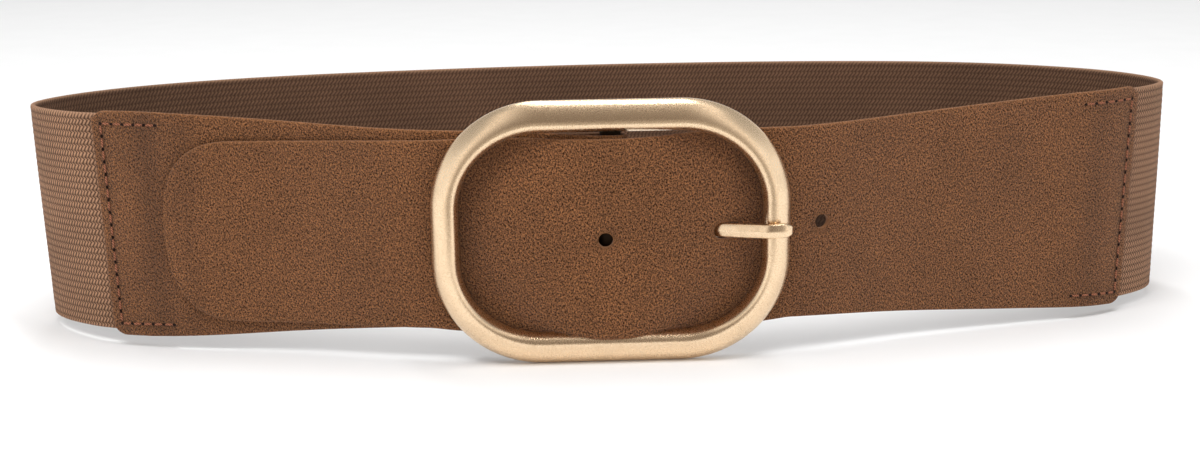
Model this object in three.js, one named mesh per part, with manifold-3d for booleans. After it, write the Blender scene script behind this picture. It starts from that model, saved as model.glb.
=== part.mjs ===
// Wide elastic waist belt, fastened, standing on its lower edge.
// Millimetres, +Z up. The buckle is at the front, towards -Y, and the wearer's right-hand side is at -X.
import * as THREE from "three";
import { mergeVertices } from "three/addons/utils/BufferGeometryUtils.js";
import Module from "manifold-3d";

const wasm = await Module();
wasm.setup();

// Driving sizes of the whole belt
const LOOP_WIDTH = 317;
const LOOP_DEPTH = 127;
const FRONT_MIDDLE = 35.1;
const CLEARANCE = 0.3;
const RISE_POWER = 1.35;
const SECTION_STEP = 5;

// Elastic webbing
const ELASTIC_WIDTH = 60;
const ELASTIC_THICKNESS = 1.6;
const ELASTIC_LAP = 18;
const ELASTIC_ROWS = 4;

// Suede straps
const STRAP_THICKNESS = 1.5;
const STRAP_END_WIDTH = 62;
const STRAP_END_RADIUS = 4;
const STRAP_CORNER_ANGLES = [20, 45, 70, 88];
const BUCKLE_STRAP_WIDTH = 52.6;
const BUCKLE_STRAP_FOLD_WIDTH = 50.4;
const BUCKLE_STRAP_REACH = 136.5;
const BUCKLE_STRAP_WIDE_STRETCH = 11;
const BUCKLE_STRAP_TAIL = 36;
const FOLD_ANGLES = [0, 30, 60, 90, 120, 150, 180];
const TONGUE_WIDTH = 51.2;
const TONGUE_REACH = 150.3;
const TONGUE_WIDE_STRETCH = 4;
const TONGUE_TIP_REACH = 117.5;
const TONGUE_TIP_LENGTH = 20;
const TONGUE_TIP_SQUARENESS = 2.6;
const TONGUE_TIP_ANGLES = [8, 16, 26, 36, 46, 56, 66, 76, 86];
const TONGUE_TIP_WIDTH = 49;
const TONGUE_DROP = 1.1;
const TONGUE_SAG = 0.5;
const STRAP_ROWS = 10;

// Punched holes
const HOLE_DIAMETER = 3.8;
const HOLE_SPACING = 28;
const FIRST_HOLE_PLACE = -1.6;
const PRONG_HOLE_LENGTH = 9.4;
const HOLE_SIDES = 12;

// Buckle casting
const RING_WIDTH = 91.8;
const RING_HEIGHT = 69.3;
const RING_BAR_WIDTH = 7;
const RING_BAR_HEIGHT = 7.6;
const RING_DEPTH = 5;
const RING_SIDE_WALL = 1.2;
const RING_CORNER_RADIUS = 28;
const RING_ROUND_STEPS = 72;
const RING_DOME_STEPS = 8;
const CENTRE_BAR_WIDTH = 5.4;
const CENTRE_BAR_DEPTH = 2.8;
const CENTRE_BAR_EDGE_RADIUS = 0.9;
const CENTRE_BAR_EDGE_STEPS = 3;
const CENTRE_BAR_SEAT = 1.5;
const BULGE_MARGIN = 3;
const BULGE_SOFTNESS = 0.15;

// Prong
const PRONG_WIDTH = 3.8;
const PRONG_THICKNESS = 2.2;
const PRONG_ROOT_THICKNESS = 1.2;
const PRONG_RIDGE = 0.6;
const PRONG_OVERHANG = 0.9;
const PRONG_TIP_LENGTH = 1.8;
const PRONG_TIP_TAPER = 0.4;
const PRONG_HOOK_ANGLES = [-90, -60, -30, 0, 30, 60, 90];
const PRONG_ROOT_DROP = 1.8;
const PRONG_TIP_RISE = 0.2;
const PRONG_SLACK = 0.8;
const PRONG_SLOT_LENGTH = 16;
const PRONG_ROWS = 4;

// Worked out from the sizes above
const STRAP_OUT = ELASTIC_THICKNESS / 2 + CLEARANCE + STRAP_THICKNESS / 2;
const LAYER_STEP = STRAP_THICKNESS + CLEARANCE;
const TONGUE_OUT = STRAP_OUT + LAYER_STEP;
const RING_INNER_HALF_WIDTH = RING_WIDTH / 2 - RING_BAR_WIDTH;
const RING_INNER_HALF_HEIGHT = RING_HEIGHT / 2 - RING_BAR_HEIGHT;
const RING_INNER_RADIUS = RING_CORNER_RADIUS - RING_BAR_WIDTH;
const RING_BACK_OUT = TONGUE_OUT + STRAP_THICKNESS / 2 + 2 * CLEARANCE;
const RING_FRONT_OUT = RING_BACK_OUT + RING_DEPTH;
const CENTRE_BAR_OUT = RING_BACK_OUT + CENTRE_BAR_SEAT - CENTRE_BAR_DEPTH / 2;
const BACK_MIDDLE = ELASTIC_WIDTH / 2;
const RING_DROP = FRONT_MIDDLE - RING_HEIGHT / 2;
const BULGE = CENTRE_BAR_OUT + CENTRE_BAR_DEPTH / 2 + CLEARANCE + STRAP_THICKNESS / 2 - STRAP_OUT;
const PRONG_LENGTH = RING_WIDTH / 2 + PRONG_OVERHANG;
const PRONG_SLOT_HEIGHT = PRONG_WIDTH + 2 * CLEARANCE + PRONG_SLACK;
const PRONG_HOLE_HEIGHT = PRONG_WIDTH + 2 * CLEARANCE + PRONG_SLACK / 4;

// Plan of the loop, seen from above: across is a share of LOOP_WIDTH and back a share of LOOP_DEPTH.
// flare is how far the upper edge stands out past the lower one, as a share of ELASTIC_WIDTH.
const LOOP_STATIONS = [
  { name: "buckle", across: 0, back: 0, flare: 0.06 },
  { name: "right of the buckle", across: 0.135, back: 0.016, flare: 0.063 },
  { name: "right strap", across: 0.248, back: 0.102, flare: 0.07 },
  { name: "right strap end", across: 0.352, back: 0.165, flare: 0.068 },
  { name: "right front", across: 0.438, back: 0.228, flare: 0.055 },
  { name: "right side", across: 0.506, back: 0.406, flare: 0.014 },
  { name: "right back corner", across: 0.482, back: 0.671, flare: 0.022 },
  { name: "right back", across: 0.356, back: 0.913, flare: 0.035 },
  { name: "back", across: 0.008, back: 1, flare: 0.045 },
  { name: "left back", across: -0.333, back: 0.849, flare: 0.054 },
  { name: "left back corner", across: -0.457, back: 0.638, flare: 0.047 },
  { name: "left side", across: -0.494, back: 0.405, flare: 0.04 },
  { name: "left front", across: -0.445, back: 0.226, flare: 0.06 },
  { name: "left strap end", across: -0.367, back: 0.143, flare: 0.066 },
  { name: "left strap", across: -0.262, back: 0.092, flare: 0.065 },
  { name: "left of the buckle", across: -0.135, back: 0.016, flare: 0.063 },
];

// The prong's side view, from the bar to its tip.
// along is a share of the length from the bar to the tip; level is 0 against the back of the tongue strap
// and 1 over the ring's front; thick is 0 at the root's thickness and 1 at the full one.
const PRONG_STATIONS = [
  { along: 0.1, level: 0, thick: 0 },
  { along: 0.2, level: 0, thick: 0 },
  { along: 0.3, level: 0, thick: 0 },
  { along: 0.4, level: 0, thick: 0.1 },
  { along: 0.46, level: 0, thick: 0.3 },
  { along: 0.505, level: 0.02, thick: 0.5 },
  { along: 0.585, level: 0.31, thick: 0.9 },
  { along: 0.666, level: 0.55, thick: 1 },
  { along: 0.77, level: 0.78, thick: 1 },
  { along: 0.835, level: 0.905, thick: 1 },
  { along: 0.88, level: 0.99, thick: 1 },
  { along: 0.92, level: 1, thick: 1 },
  { along: 0.96, level: 1, thick: 1 },
  { along: 1, level: 0.985, thick: 0.9 },
];

// The loop is one closed curve through its stations; its third coordinate carries the flare.
const loop = new THREE.CatmullRomCurve3(
  LOOP_STATIONS.map(({ across, back, flare }) => new THREE.Vector3(
    across * LOOP_WIDTH,
    back * LOOP_DEPTH,
    flare * ELASTIC_WIDTH,
  )),
  true,
  "centripetal",
);
loop.arcLengthDivisions = 2000;
const LOOP_LENGTH = loop.getLength();

const smoothStep = (value) => THREE.MathUtils.smoothstep(value, 0, 1);

// Frame of the loop at a distance along it from the buckle, positive towards the wearer's left (+X).
// Its middle is low at the back, where the elastic stands on the floor, and lifted by the ring in front.
function loopFrame(along) {
  const share = (((along / LOOP_LENGTH) % 1) + 1) % 1;
  const point = loop.getPointAt(share);
  const tangent = loop.getTangentAt(share);
  const outward = new THREE.Vector2(tangent.y, -tangent.x).normalize();
  const frontness = Math.min(Math.max(1 - point.y / LOOP_DEPTH, 0), 1);
  const middle = BACK_MIDDLE + (FRONT_MIDDLE - BACK_MIDDLE) * frontness ** RISE_POWER;
  return { point, outward, middle, slope: point.z / ELASTIC_WIDTH };
}

// World position of a point given along the loop, outwards from it, and above its middle height.
function onLoop(along, out, above) {
  const { point, outward, middle, slope } = loopFrame(along);
  const reach = out + above * slope;
  return new THREE.Vector3(point.x + outward.x * reach, point.y + outward.y * reach, middle + above);
}

// The same for the buckle's pieces, which lie along the flat tangent of the loop at its front.
function onFront(along, out, above) {
  const { point, middle, slope } = loopFrame(0);
  return new THREE.Vector3(point.x + along, point.y - out - above * slope, middle + above);
}

// Half the width that the ring's opening leaves at a height above its middle.
function openingHalfWidth(above) {
  const fromMiddle = Math.abs(above + RING_DROP);
  const intoCorner = Math.max(fromMiddle - (RING_INNER_HALF_HEIGHT - RING_INNER_RADIUS), 0);
  const inset = RING_INNER_RADIUS - Math.sqrt(Math.max(RING_INNER_RADIUS ** 2 - intoCorner ** 2, 0));
  return RING_INNER_HALF_WIDTH - inset - BULGE_MARGIN;
}

// How far the straps stand forward where they pass over the centre bar, inside the ring's opening.
function bulgeAt(along, above) {
  const edge = TONGUE_WIDTH / 2;
  const middleReach = openingHalfWidth(0);
  const edgeReach = openingHalfWidth(edge);
  const reach = middleReach - (middleReach - edgeReach) * (above / edge) ** 2;
  const rest = 1 - (along / reach) ** 2;
  const softened = (value) => value + Math.sqrt(value ** 2 + BULGE_SOFTNESS ** 2);
  return (BULGE * softened(rest)) / softened(1);
}

// A strip is a box whose length is bent along a list of stations.
// place(station, share) gives the strip's middle line as { along, out, above }, share running from -1
// at the lower edge to 1 at the upper one; thickness(station, share) gives { inner, outer } half walls.
function strip(stations, rows, place, thickness, put = onLoop) {
  const geometry = new THREE.BoxGeometry(1, 1, 1, stations.length - 1, 1, rows);
  const position = geometry.getAttribute("position");
  for (let i = 0; i < position.count; i += 1) {
    const index = Math.round((position.getX(i) + 0.5) * (stations.length - 1));
    const share = position.getZ(i) * 2;
    const here = place(stations[index], share);
    const before = place(stations[Math.max(index - 1, 0)], share);
    const after = place(stations[Math.min(index + 1, stations.length - 1)], share);
    const turn = new THREE.Vector2(-(after.out - before.out), after.along - before.along).normalize();
    const { inner, outer } = thickness(stations[index], share);
    const wall = position.getY(i) > 0 ? -inner : outer;
    const moved = put(here.along + turn.x * wall, here.out + turn.y * wall, here.above);
    position.setXYZ(i, moved.x, moved.y, moved.z);
  }
  return bare(geometry);
}

// Only positions are kept, with the corners that faces share merged.
function bare(geometry) {
  geometry.deleteAttribute("normal");
  geometry.deleteAttribute("uv");
  return mergeVertices(geometry, 1e-4);
}

function toSolid(geometry) {
  const merged = bare(geometry);
  return new wasm.Manifold(new wasm.Mesh({
    numProp: 3,
    vertProperties: new Float32Array(merged.getAttribute("position").array),
    triVerts: new Uint32Array(merged.getIndex().array),
  }));
}

function fromSolid(solid) {
  const mesh = solid.getMesh();
  const geometry = new THREE.BufferGeometry();
  geometry.setAttribute("position", new THREE.BufferAttribute(new Float32Array(mesh.vertProperties), 3));
  geometry.setIndex(new THREE.BufferAttribute(new Uint32Array(mesh.triVerts), 1));
  geometry.computeVertexNormals();
  return geometry;
}

// Evenly spaced distances from one to another, both included.
function spaced(from, to, step) {
  const count = Math.max(Math.round(Math.abs(to - from) / step), 1);
  return Array.from({ length: count + 1 }, (_, i) => from + ((to - from) * i) / count);
}

// Height of a strap's half width where it widens from the buckle to its sewn end, with rounded corners.
function strapHalf(fromBuckle, reach, narrow, wideStretch) {
  const start = RING_WIDTH / 2;
  const t = Math.min(Math.max((fromBuckle - start) / (reach - wideStretch - start), 0), 1);
  const ease = (t + smoothStep(t)) / 2;
  const half = (narrow + (STRAP_END_WIDTH - narrow) * ease) / 2;
  const intoCorner = Math.max(fromBuckle - (reach - STRAP_END_RADIUS), 0);
  const inset = STRAP_END_RADIUS - Math.sqrt(Math.max(STRAP_END_RADIUS ** 2 - intoCorner ** 2, 0));
  return half - inset;
}

const cornerPlaces = (reach) => STRAP_CORNER_ANGLES.map(
  (angle) => reach - STRAP_END_RADIUS * (1 - Math.sin(THREE.MathUtils.degToRad(angle))),
);

function elasticBand() {
  const from = TONGUE_REACH - ELASTIC_LAP;
  const to = LOOP_LENGTH - (BUCKLE_STRAP_REACH - ELASTIC_LAP);
  return strip(
    spaced(from, to, SECTION_STEP),
    ELASTIC_ROWS,
    (along, share) => ({ along, out: 0, above: (share * ELASTIC_WIDTH) / 2 }),
    () => ({ inner: ELASTIC_THICKNESS / 2, outer: ELASTIC_THICKNESS / 2 }),
  );
}

const evenStrap = () => ({ inner: STRAP_THICKNESS / 2, outer: STRAP_THICKNESS / 2 });

// Half the buckle strap's width, which narrows a little inside the ring.
function buckleStrapHalf(fromBuckle) {
  const taper = Math.max(1 - fromBuckle / (RING_WIDTH / 2), 0);
  const full = strapHalf(fromBuckle, BUCKLE_STRAP_REACH, BUCKLE_STRAP_WIDTH, BUCKLE_STRAP_WIDE_STRETCH);
  return full - ((BUCKLE_STRAP_WIDTH - BUCKLE_STRAP_FOLD_WIDTH) / 2) * taper;
}

// From the sewn end to the bar, round the bar, and back along the inside to the end of the tail.
function buckleStrap() {
  const foldRadius = CENTRE_BAR_DEPTH / 2 + CLEARANCE + STRAP_THICKNESS / 2;
  const foldPlace = CENTRE_BAR_WIDTH / 2 - CENTRE_BAR_DEPTH / 2;
  const reach = BUCKLE_STRAP_REACH;
  const outerRun = [
    ...cornerPlaces(reach).reverse(),
    ...spaced(reach - STRAP_END_RADIUS, RING_WIDTH / 2, SECTION_STEP),
    ...spaced(RING_WIDTH / 2, 0, SECTION_STEP / 2).slice(1),
  ].map((fromBuckle) => ({ fromBuckle, part: "run" }));
  const fold = FOLD_ANGLES.map((angle) => ({ angle, part: "fold" }));
  const tail = spaced(0, BUCKLE_STRAP_TAIL, SECTION_STEP / 2).map((back) => ({ back, part: "tail" }));
  const stations = [...outerRun, ...fold, ...tail];
  const half = ({ part, fromBuckle }) => buckleStrapHalf(part === "run" ? fromBuckle : 0);
  const place = (station, share) => {
    const above = share * half(station);
    if (station.part === "run") {
      const along = -station.fromBuckle;
      return { along, out: STRAP_OUT + bulgeAt(along, above), above };
    }
    if (station.part === "fold") {
      const angle = THREE.MathUtils.degToRad(station.angle);
      return {
        along: foldPlace + foldRadius * Math.sin(angle),
        out: CENTRE_BAR_OUT + foldRadius * Math.cos(angle),
        above,
      };
    }
    const along = -station.back;
    const closing = smoothStep(station.back / (CENTRE_BAR_WIDTH * 3));
    const behindBar = CENTRE_BAR_OUT - foldRadius;
    const behindRun = STRAP_OUT + bulgeAt(along, above) - LAYER_STEP;
    return { along, out: behindBar + (behindRun - behindBar) * closing, above };
  };
  const whole = toSolid(strip(stations, STRAP_ROWS, place, evenStrap));
  const slot = new THREE.BoxGeometry(PRONG_SLOT_LENGTH, RING_DEPTH * 4, PRONG_SLOT_HEIGHT);
  slot.translate(0, onFront(0, CENTRE_BAR_OUT, 0).y, FRONT_MIDDLE + prongHeight(0));
  return fromSolid(whole.subtract(toSolid(slot)));
}

// How far the tongue strap lies below the straps' middle: level up to the ring, sagging inside it.
function tongueDrop(along) {
  const ringHalf = RING_WIDTH / 2;
  const sag = TONGUE_SAG * Math.max(1 - (along / ringHalf) ** 2, 0);
  return TONGUE_DROP * smoothStep((ringHalf - along) / ringHalf) + sag;
}

// Half the tongue strap's width, which narrows a little from the buckle to the rounded tip.
function tongueHalf(along) {
  const taper = Math.min(Math.max(-along / (TONGUE_TIP_REACH - TONGUE_TIP_LENGTH), 0), 1);
  const full = strapHalf(along, TONGUE_REACH, TONGUE_WIDTH, TONGUE_WIDE_STRETCH);
  return full - ((TONGUE_WIDTH - TONGUE_TIP_WIDTH) / 2) * taper;
}

// From the rounded tip, over the left strap, through the buckle, to the sewn end on the right.
function tongueStrap() {
  const power = 2 / TONGUE_TIP_SQUARENESS;
  const tip = TONGUE_TIP_ANGLES.map(THREE.MathUtils.degToRad).map((angle) => ({
    along: -TONGUE_TIP_REACH + TONGUE_TIP_LENGTH * (1 - Math.cos(angle) ** power),
    half: (TONGUE_TIP_WIDTH / 2) * Math.sin(angle) ** power,
  }));
  const tipEnd = -TONGUE_TIP_REACH + TONGUE_TIP_LENGTH;
  const places = [
    ...spaced(tipEnd, -RING_WIDTH / 2, SECTION_STEP),
    ...spaced(-RING_WIDTH / 2, RING_WIDTH / 2, SECTION_STEP / 2).slice(1, -1),
    ...spaced(RING_WIDTH / 2, TONGUE_REACH - STRAP_END_RADIUS, SECTION_STEP),
    ...cornerPlaces(TONGUE_REACH),
  ];
  const body = places.map((along) => ({ along, half: tongueHalf(along) }));
  const liftStart = TONGUE_REACH - ELASTIC_LAP;
  const lift = (along) => smoothStep((liftStart - along) / (liftStart - RING_WIDTH / 2));
  const place = ({ along, half }, share) => {
    const above = share * half - tongueDrop(along);
    return { along, out: STRAP_OUT + LAYER_STEP * lift(along) + bulgeAt(along, above), above };
  };
  const whole = toSolid(strip([...tip, ...body], STRAP_ROWS, place, evenStrap));
  const [first, middle, last] = [0, 1, 2].map((i) => FIRST_HOLE_PLACE + i * HOLE_SPACING);
  const holes = [
    punch(first, -tongueDrop(first), HOLE_DIAMETER, HOLE_DIAMETER),
    punch(middle, prongHeight(middle), PRONG_HOLE_LENGTH, PRONG_HOLE_HEIGHT),
    punch(last, -tongueDrop(last), HOLE_DIAMETER, HOLE_DIAMETER),
  ];
  return fromSolid(holes.reduce((strap, hole) => strap.subtract(hole), whole));
}

// A punch square to the strap: round, or drawn out along the strap where the prong comes through.
function punch(along, above, length, height) {
  const radius = height / 2;
  const straight = (length - height) / 2;
  const outline = new THREE.Shape();
  outline.absarc(straight, 0, radius, -Math.PI / 2, Math.PI / 2);
  outline.absarc(-straight, 0, radius, Math.PI / 2, Math.PI * 1.5);
  const depth = RING_DEPTH * 4;
  const curveSegments = HOLE_SIDES / 2;
  const cutter = new THREE.ExtrudeGeometry(outline, { depth, bevelEnabled: false, curveSegments });
  cutter.translate(0, 0, -depth / 2);
  cutter.rotateX(Math.PI / 2);
  const { outward } = loopFrame(along);
  cutter.rotateZ(Math.atan2(outward.y, outward.x) + Math.PI / 2);
  const centre = onLoop(along, TONGUE_OUT, above);
  cutter.translate(centre.x, centre.y, centre.z);
  return toSolid(cutter);
}

// Centre line of the ring's bar at an angle: where it lies and which way is away from the opening.
// The bar is a little higher along the top and the bottom than it is wide at the sides.
// No angle falls on an axis, so each straight side is one flat face between two corners.
function ringLine(angle) {
  const direction = new THREE.Vector2(Math.cos(angle), Math.sin(angle));
  const corner = new THREE.Vector2(
    Math.sign(direction.x) * (RING_WIDTH / 2 - RING_CORNER_RADIUS),
    Math.sign(direction.y) * (RING_HEIGHT / 2 - RING_CORNER_RADIUS),
  );
  const width = RING_BAR_WIDTH + (RING_BAR_HEIGHT - RING_BAR_WIDTH) * direction.y ** 2;
  const point = corner.clone().addScaledVector(direction, RING_CORNER_RADIUS - width / 2);
  return { point, direction, widening: width / RING_BAR_WIDTH };
}

// The ring is a turned D-shaped section, pulled out to the rounded outline, with its back flat.
function ringGeometry() {
  const halfWidth = RING_BAR_WIDTH / 2;
  const dome = RING_DEPTH - RING_SIDE_WALL;
  const arc = Array.from({ length: RING_DOME_STEPS + 1 }, (_, i) => {
    const angle = (Math.PI * i) / RING_DOME_STEPS;
    return new THREE.Vector2(halfWidth * Math.cos(angle), RING_SIDE_WALL + dome * Math.sin(angle));
  });
  const section = [new THREE.Vector2(halfWidth, 0), ...arc, new THREE.Vector2(-halfWidth, 0)];
  const closed = [...section, section[0]].reverse().map(({ x, y }) => new THREE.Vector2(x + RING_WIDTH, y));
  const halfStep = Math.PI / RING_ROUND_STEPS;
  const geometry = new THREE.LatheGeometry(closed, RING_ROUND_STEPS, halfStep);
  const position = geometry.getAttribute("position");
  for (let i = 0; i < position.count; i += 1) {
    const angle = Math.atan2(position.getZ(i), position.getX(i));
    const acrossBar = Math.hypot(position.getX(i), position.getZ(i)) - RING_WIDTH;
    const { point, direction, widening } = ringLine(angle);
    const place = point.addScaledVector(direction, acrossBar * widening);
    position.setXYZ(i, place.x, -position.getY(i), place.y);
  }
  return geometry;
}

// Buckle castings are drawn flat with their middle at the origin and set on the straps with their flare.
function setOnFront(geometry) {
  const position = geometry.getAttribute("position");
  for (let i = 0; i < position.count; i += 1) {
    const moved = onFront(position.getX(i), -position.getY(i), position.getZ(i));
    position.setXYZ(i, moved.x, moved.y, moved.z);
  }
  return geometry;
}

function buckleFrame() {
  const ring = ringGeometry();
  ring.translate(0, -RING_BACK_OUT, -RING_DROP);
  const half = new THREE.Vector2(CENTRE_BAR_WIDTH / 2, CENTRE_BAR_DEPTH / 2);
  const edge = CENTRE_BAR_EDGE_RADIUS;
  const outline = new THREE.Shape();
  outline.moveTo(half.x, -half.y + edge);
  outline.absarc(half.x - edge, half.y - edge, edge, 0, Math.PI / 2);
  outline.absarc(-half.x + edge, half.y - edge, edge, Math.PI / 2, Math.PI);
  outline.absarc(-half.x + edge, -half.y + edge, edge, Math.PI, Math.PI * 1.5);
  outline.absarc(half.x - edge, -half.y + edge, edge, Math.PI * 1.5, Math.PI * 2);
  const depth = RING_HEIGHT - RING_BAR_HEIGHT;
  const curveSegments = CENTRE_BAR_EDGE_STEPS;
  const bar = new THREE.ExtrudeGeometry(outline, { depth, bevelEnabled: false, curveSegments });
  bar.translate(0, -CENTRE_BAR_OUT, -depth / 2 - RING_DROP);
  return fromSolid(toSolid(setOnFront(bare(ring))).add(toSolid(setOnFront(bare(bar)))));
}

// Height of the prong's middle line, which is a straight line that rises from the bar to the tip.
function prongHeight(along) {
  return -PRONG_ROOT_DROP + ((PRONG_ROOT_DROP + PRONG_TIP_RISE) * along) / PRONG_LENGTH;
}

// A strip hooked round the bar, up through the tongue strap and over the ring, with a ridge along it.
function prongGeometry() {
  const hookRadius = CENTRE_BAR_DEPTH / 2 + CLEARANCE + PRONG_ROOT_THICKNESS / 2;
  const hookPlace = CENTRE_BAR_WIDTH / 2 - CENTRE_BAR_DEPTH / 2;
  const wallAt = (thick) => (PRONG_ROOT_THICKNESS + (PRONG_THICKNESS - PRONG_ROOT_THICKNESS) * thick) / 2;
  const hook = PRONG_HOOK_ANGLES.map((degrees) => {
    const angle = THREE.MathUtils.degToRad(degrees);
    return {
      along: -hookPlace - hookRadius * Math.cos(angle),
      out: CENTRE_BAR_OUT + hookRadius * Math.sin(angle),
      thick: 0,
      half: PRONG_WIDTH / 2,
    };
  });
  const start = { ...hook[0], along: hookPlace };
  const shank = PRONG_STATIONS.map((station) => {
    const along = station.along * PRONG_LENGTH;
    const wall = wallAt(station.thick);
    const receded = loopFrame(along).point.y - loopFrame(0).point.y;
    const strapBack = TONGUE_OUT + bulgeAt(along, prongHeight(along)) - receded - STRAP_THICKNESS / 2;
    const under = strapBack - CLEARANCE - wall;
    const over = RING_FRONT_OUT + CLEARANCE + wall;
    const intoTip = 1 - Math.min((PRONG_LENGTH - along) / PRONG_TIP_LENGTH, 1);
    return {
      along,
      out: under + (over - under) * station.level,
      thick: station.thick,
      half: (PRONG_WIDTH / 2) * (1 - PRONG_TIP_TAPER * intoTip),
    };
  });
  const place = ({ along, out, half }, share) => ({ along, out, above: share * half + prongHeight(along) });
  const thickness = ({ thick }, share) => ({
    inner: wallAt(thick),
    outer: wallAt(thick) - PRONG_RIDGE * thick * Math.abs(share),
  });
  return fromSolid(toSolid(strip([start, ...hook, ...shank], PRONG_ROWS, place, thickness, onFront)));
}

// Colours and finishes
const elastic = new THREE.MeshStandardMaterial({ color: 0x8f6a50, roughness: 0.9, metalness: 0 });
const suede = new THREE.MeshStandardMaterial({ color: 0x7d5030, roughness: 0.95, metalness: 0 });
const paleGold = new THREE.MeshStandardMaterial({ color: 0xd9bf98, roughness: 0.32, metalness: 1 });

function named(name, geometry, material) {
  const mesh = new THREE.Mesh(geometry, material);
  mesh.name = name;
  return mesh;
}

const belt = new THREE.Group();
belt.add(named("elastic_band", fromSolid(toSolid(elasticBand())), elastic));
belt.add(named("buckle_strap", buckleStrap(), suede));
belt.add(named("tongue_strap", tongueStrap(), suede));
belt.add(named("buckle_frame", buckleFrame(), paleGold));
belt.add(named("prong", prongGeometry(), paleGold));

// The origin is under the middle of the belt, on the surface that it stands on.
const box = new THREE.Box3().setFromObject(belt);
const middle = box.getCenter(new THREE.Vector3());
belt.position.set(-middle.x, -middle.y, -box.min.z);
belt.updateMatrixWorld(true);

export default belt;
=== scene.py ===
"""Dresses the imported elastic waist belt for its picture.

Sizes are millimetres on the belt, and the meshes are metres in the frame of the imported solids.
"""

import bisect
import logging
import math
from collections.abc import Callable, Iterable, Sequence
from dataclasses import dataclass, field
from enum import Enum

import bmesh
import bpy
from mathutils import Matrix, Vector, noise


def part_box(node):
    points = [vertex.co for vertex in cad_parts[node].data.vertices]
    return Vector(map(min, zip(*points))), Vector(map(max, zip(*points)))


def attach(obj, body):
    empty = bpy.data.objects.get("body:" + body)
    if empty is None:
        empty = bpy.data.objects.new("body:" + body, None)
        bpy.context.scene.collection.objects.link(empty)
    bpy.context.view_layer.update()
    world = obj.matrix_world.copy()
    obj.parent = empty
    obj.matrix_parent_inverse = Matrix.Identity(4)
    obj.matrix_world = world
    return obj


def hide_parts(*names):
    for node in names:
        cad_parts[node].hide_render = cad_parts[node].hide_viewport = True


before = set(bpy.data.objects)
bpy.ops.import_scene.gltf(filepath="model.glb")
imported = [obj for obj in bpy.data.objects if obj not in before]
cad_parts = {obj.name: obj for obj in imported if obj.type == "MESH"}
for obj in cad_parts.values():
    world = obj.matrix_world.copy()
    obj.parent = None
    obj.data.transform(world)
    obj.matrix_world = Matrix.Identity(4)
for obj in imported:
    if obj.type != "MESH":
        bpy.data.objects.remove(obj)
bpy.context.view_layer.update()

log = logging.getLogger("belt")
MM = 0.001
TINY = 1e-6
CUT_DEPTH = 20.0
EDGE_ANGLES = (20, 45, 70, 90)


# Shared small things


class Side(Enum):
    """Which face of a strip a point is on."""

    OUTER = 1
    INNER = -1


class Slot(Enum):
    """The record's material slots."""

    ELASTIC = "elastic"
    SUEDE = "suede"
    PALE_GOLD = "pale_gold"


def smooth_step(value: float) -> float:
    """Eases from 0 to 1."""
    t = min(max(value, 0.0), 1.0)
    return t * t * (3 - 2 * t)


def hill(distance: float, width: float) -> float:
    """A soft hill: 1 at no distance, next to nothing past the width."""
    return math.exp(-((distance / width) ** 2) * 3)


def spaced(start: float, end: float, step: float) -> list[float]:
    """Evenly spaced values from start to end, both included.

    Args:
        start: first value.
        end: last value.
        step: wanted distance between two values.

    Returns:
        The values in order.
    """
    count = max(round(abs(end - start) / step), 1)
    return [start + (end - start) * i / count for i in range(count + 1)]


def ripple(u: float, v: float, size: float, seed: float) -> float:
    """Smooth unevenness from -1 to 1 of a given size, the same each run."""
    return noise.noise(Vector((u / size, v / size, seed)))


@dataclass(frozen=True)
class Place:
    """Where the loop is at one distance along it."""

    point: Vector
    outward: Vector
    middle: float
    slope: float


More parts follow.
